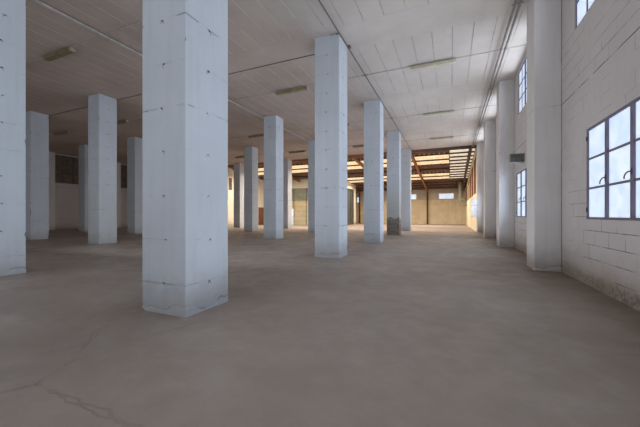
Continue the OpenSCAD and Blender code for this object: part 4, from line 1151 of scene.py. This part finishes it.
def make_camera():
    """A level camera at the photograph's viewpoint; its shift sets the height of the horizon."""
    data = bpy.data.cameras.new("camera")
    data.sensor_width = SENSOR
    data.lens = SENSOR * FOCAL_PX / IMAGE_W
    data.shift_y = HORIZON_BELOW / IMAGE_W
    data.clip_end = 500
    camera = bpy.data.objects.new("camera", data)
    camera.location = CAMERA_AT
    camera.rotation_euler = (math.radians(90), 0, math.radians(YAW))
    bpy.context.scene.collection.objects.link(camera)
    bpy.context.scene.camera = camera


def area_light(name, at, turn, size, power, colour, spread=math.pi):
    """A rectangular lamp that shines along its -Z, and that no view shows."""
    data = bpy.data.lights.new(name, "AREA")
    data.shape, data.size, data.size_y = "RECTANGLE", *size
    data.energy, data.color, data.spread = power, colour, spread
    lamp = bpy.data.objects.new(name, data)
    lamp.location = at
    lamp.rotation_euler = [math.radians(a) for a in turn]
    lamp.visible_camera = lamp.visible_glossy = lamp.visible_transmission = False
    bpy.context.scene.collection.objects.link(lamp)


BLUE_DAY, WARM_DAY, SOFT_FILL = (0.56, 0.75, 1.0), (1.0, 0.88, 0.74), (1.0, 0.93, 0.86)
COOL_FILL = (0.86, 0.93, 1.0)
HIGH_DAY, CROSS_DAY = (0.80, 0.89, 1.0), (0.70, 0.84, 1.0)
LOWER_POWER, UPPER_POWER, NEAR_POWER, FAR_POWER = 52, 40, 1330, 860
FILL_POWER, BOUNCE_POWER, AISLE_POWER, LEFT_POWER = 168, 52, 170, 84
DEEP_POWER, CROSS_POWER = 50, 100
# The windows beside the camera give less light: the share of the first two of each height
SHARES = {"right_lower_windows": (0.15, 0.5), "right_upper_windows": (0.35, 0.7)}
WINDOW_SPREAD = 2.75
DAY = (0.92, 0.92, 0.92)


def make_lights():
    """Daylight through each window of the right wall and each band of light sheets, soft fills
    from the front wall and ahead of it, light that crosses the hall from its first row of
    columns, and the light that the floor and the hall throw back."""
    inside = RIGHT_FACE - 0.03
    for kind, power, colour in (("right_lower_windows", LOWER_POWER, BLUE_DAY),
                                ("right_upper_windows", UPPER_POWER, HIGH_DAY)):
        for k, (a, b, c, d, *_) in enumerate(windows(kind, 1)):
            at = (inside, (a + b) / 2, (c + d) / 2)
            share = SHARES[kind][k] if k < 2 else 1
            area_light("%s_light_%d" % (kind, k), at, (0, 90, 0), (d - c, b - a), power * share,
                       colour, WINDOW_SPREAD)
    low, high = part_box("shed_skylights")
    area_light("shed_light_near", ((SHED_LEFT + SHED_RIGHT) / 2, low.y + 1.0, high.z - 0.75),
               (0, 0, 0), (17, 1.9), NEAR_POWER, WARM_DAY)
    area_light("shed_light_far", ((RETURN_FACE + SHED_RIGHT) / 2, high.y - 1.0, high.z - 1.25),
               (0, 0, 0), (10, 1.9), FAR_POWER, WARM_DAY)
    area_light("front_fill", (2.0, FRONT_FACE + 0.6, 2.8), (90, 0, 0), (22, 4), FILL_POWER, COOL_FILL)
    area_light("hall_fill", (5.0, LINE_Y[0] + BAY / 2, 1.9), (90, 0, 0), (8, 2.4), DEEP_POWER,
               COOL_FILL)
    middle = (FRONT_FACE + HALL_BACK) / 2
    area_light("hall_bounce", (ROW_X[0] + COLUMN / 2 + 0.1, middle, 2.9), (0, -90, 0), (4, 22),
               BOUNCE_POWER, SOFT_FILL)
    area_light("cross_light", (ROW_X[0] - COLUMN / 2 - 0.1, middle, 2.6), (0, 90, 0), (3.5, 22),
               CROSS_POWER, CROSS_DAY)
    aisle = (ROW_X[0] + RIGHT_FACE) / 2
    area_light("aisle_bounce", (aisle, middle, FLOOR + 0.1), (180, 0, 0), (3, 22), AISLE_POWER,
               COOL_FILL)
    area_light("left_bounce", ((LEFT_FACE + ROW_X[0]) / 2, middle, FLOOR + 0.1), (180, 0, 0),
               (20, 22), LEFT_POWER, WARM_DAY)


def make_world():
    """White behind the building, and plain soft daylight on it."""
    world = bpy.data.worlds.new("world")
    bpy.context.scene.world = world
    world.use_nodes = True
    tree = world.node_tree
    path = tree.nodes.new("ShaderNodeLightPath")
    seen = path.outputs["Is Camera Ray"]
    for name in ("Is Glossy Ray", "Is Transmission Ray"):
        either = tree.nodes.new("ShaderNodeMath")
        either.operation = "MAXIMUM"
        tree.links.new(seen, either.inputs[0])
        tree.links.new(path.outputs[name], either.inputs[1])
        seen = either.outputs[0]
    shade = tree.nodes.new("ShaderNodeMix")
    shade.data_type = "RGBA"
    shade.inputs[6].default_value = (*DAY, 1)
    shade.inputs[7].default_value = (1, 1, 1, 1)
    tree.links.new(seen, shade.inputs[0])
    tree.links.new(shade.outputs[2], tree.nodes["Background"].inputs["Color"])


def make_ground():
    """The pale floor that the building stands on."""
    s = Shader("ground", Roughness=0.9)
    s.set(Base_Color=s.mix(s.noise(0.05), (0.80, 0.79, 0.78), (0.84, 0.83, 0.82)))
    glow = s.node("Emission", {}, (1, 1, 1), 1.0)
    through = s.node("LightPath", {}, out="Is Transmission Ray")
    both = s.node("MixShader", {}, through, Socket(s, s.surface.outputs[0]), glow)
    s.tree.links.new(both.output, s.tree.nodes["Material Output"].inputs["Surface"])
    mesh = bpy.data.meshes.new("ground")
    far, under = 300, -0.002
    square = [(x * far, y * far, under) for x, y in ((-1, -1), (1, -1), (1, 1), (-1, 1))]
    mesh.from_pydata(square, [], [(0, 1, 2, 3)])
    mesh.materials.append(s.material)
    ground = bpy.data.objects.new("ground", mesh)
    bpy.context.scene.collection.objects.link(ground)


make_camera()
make_lights()
make_world()
make_ground()
bpy.context.scene.view_settings.view_transform = "Standard"
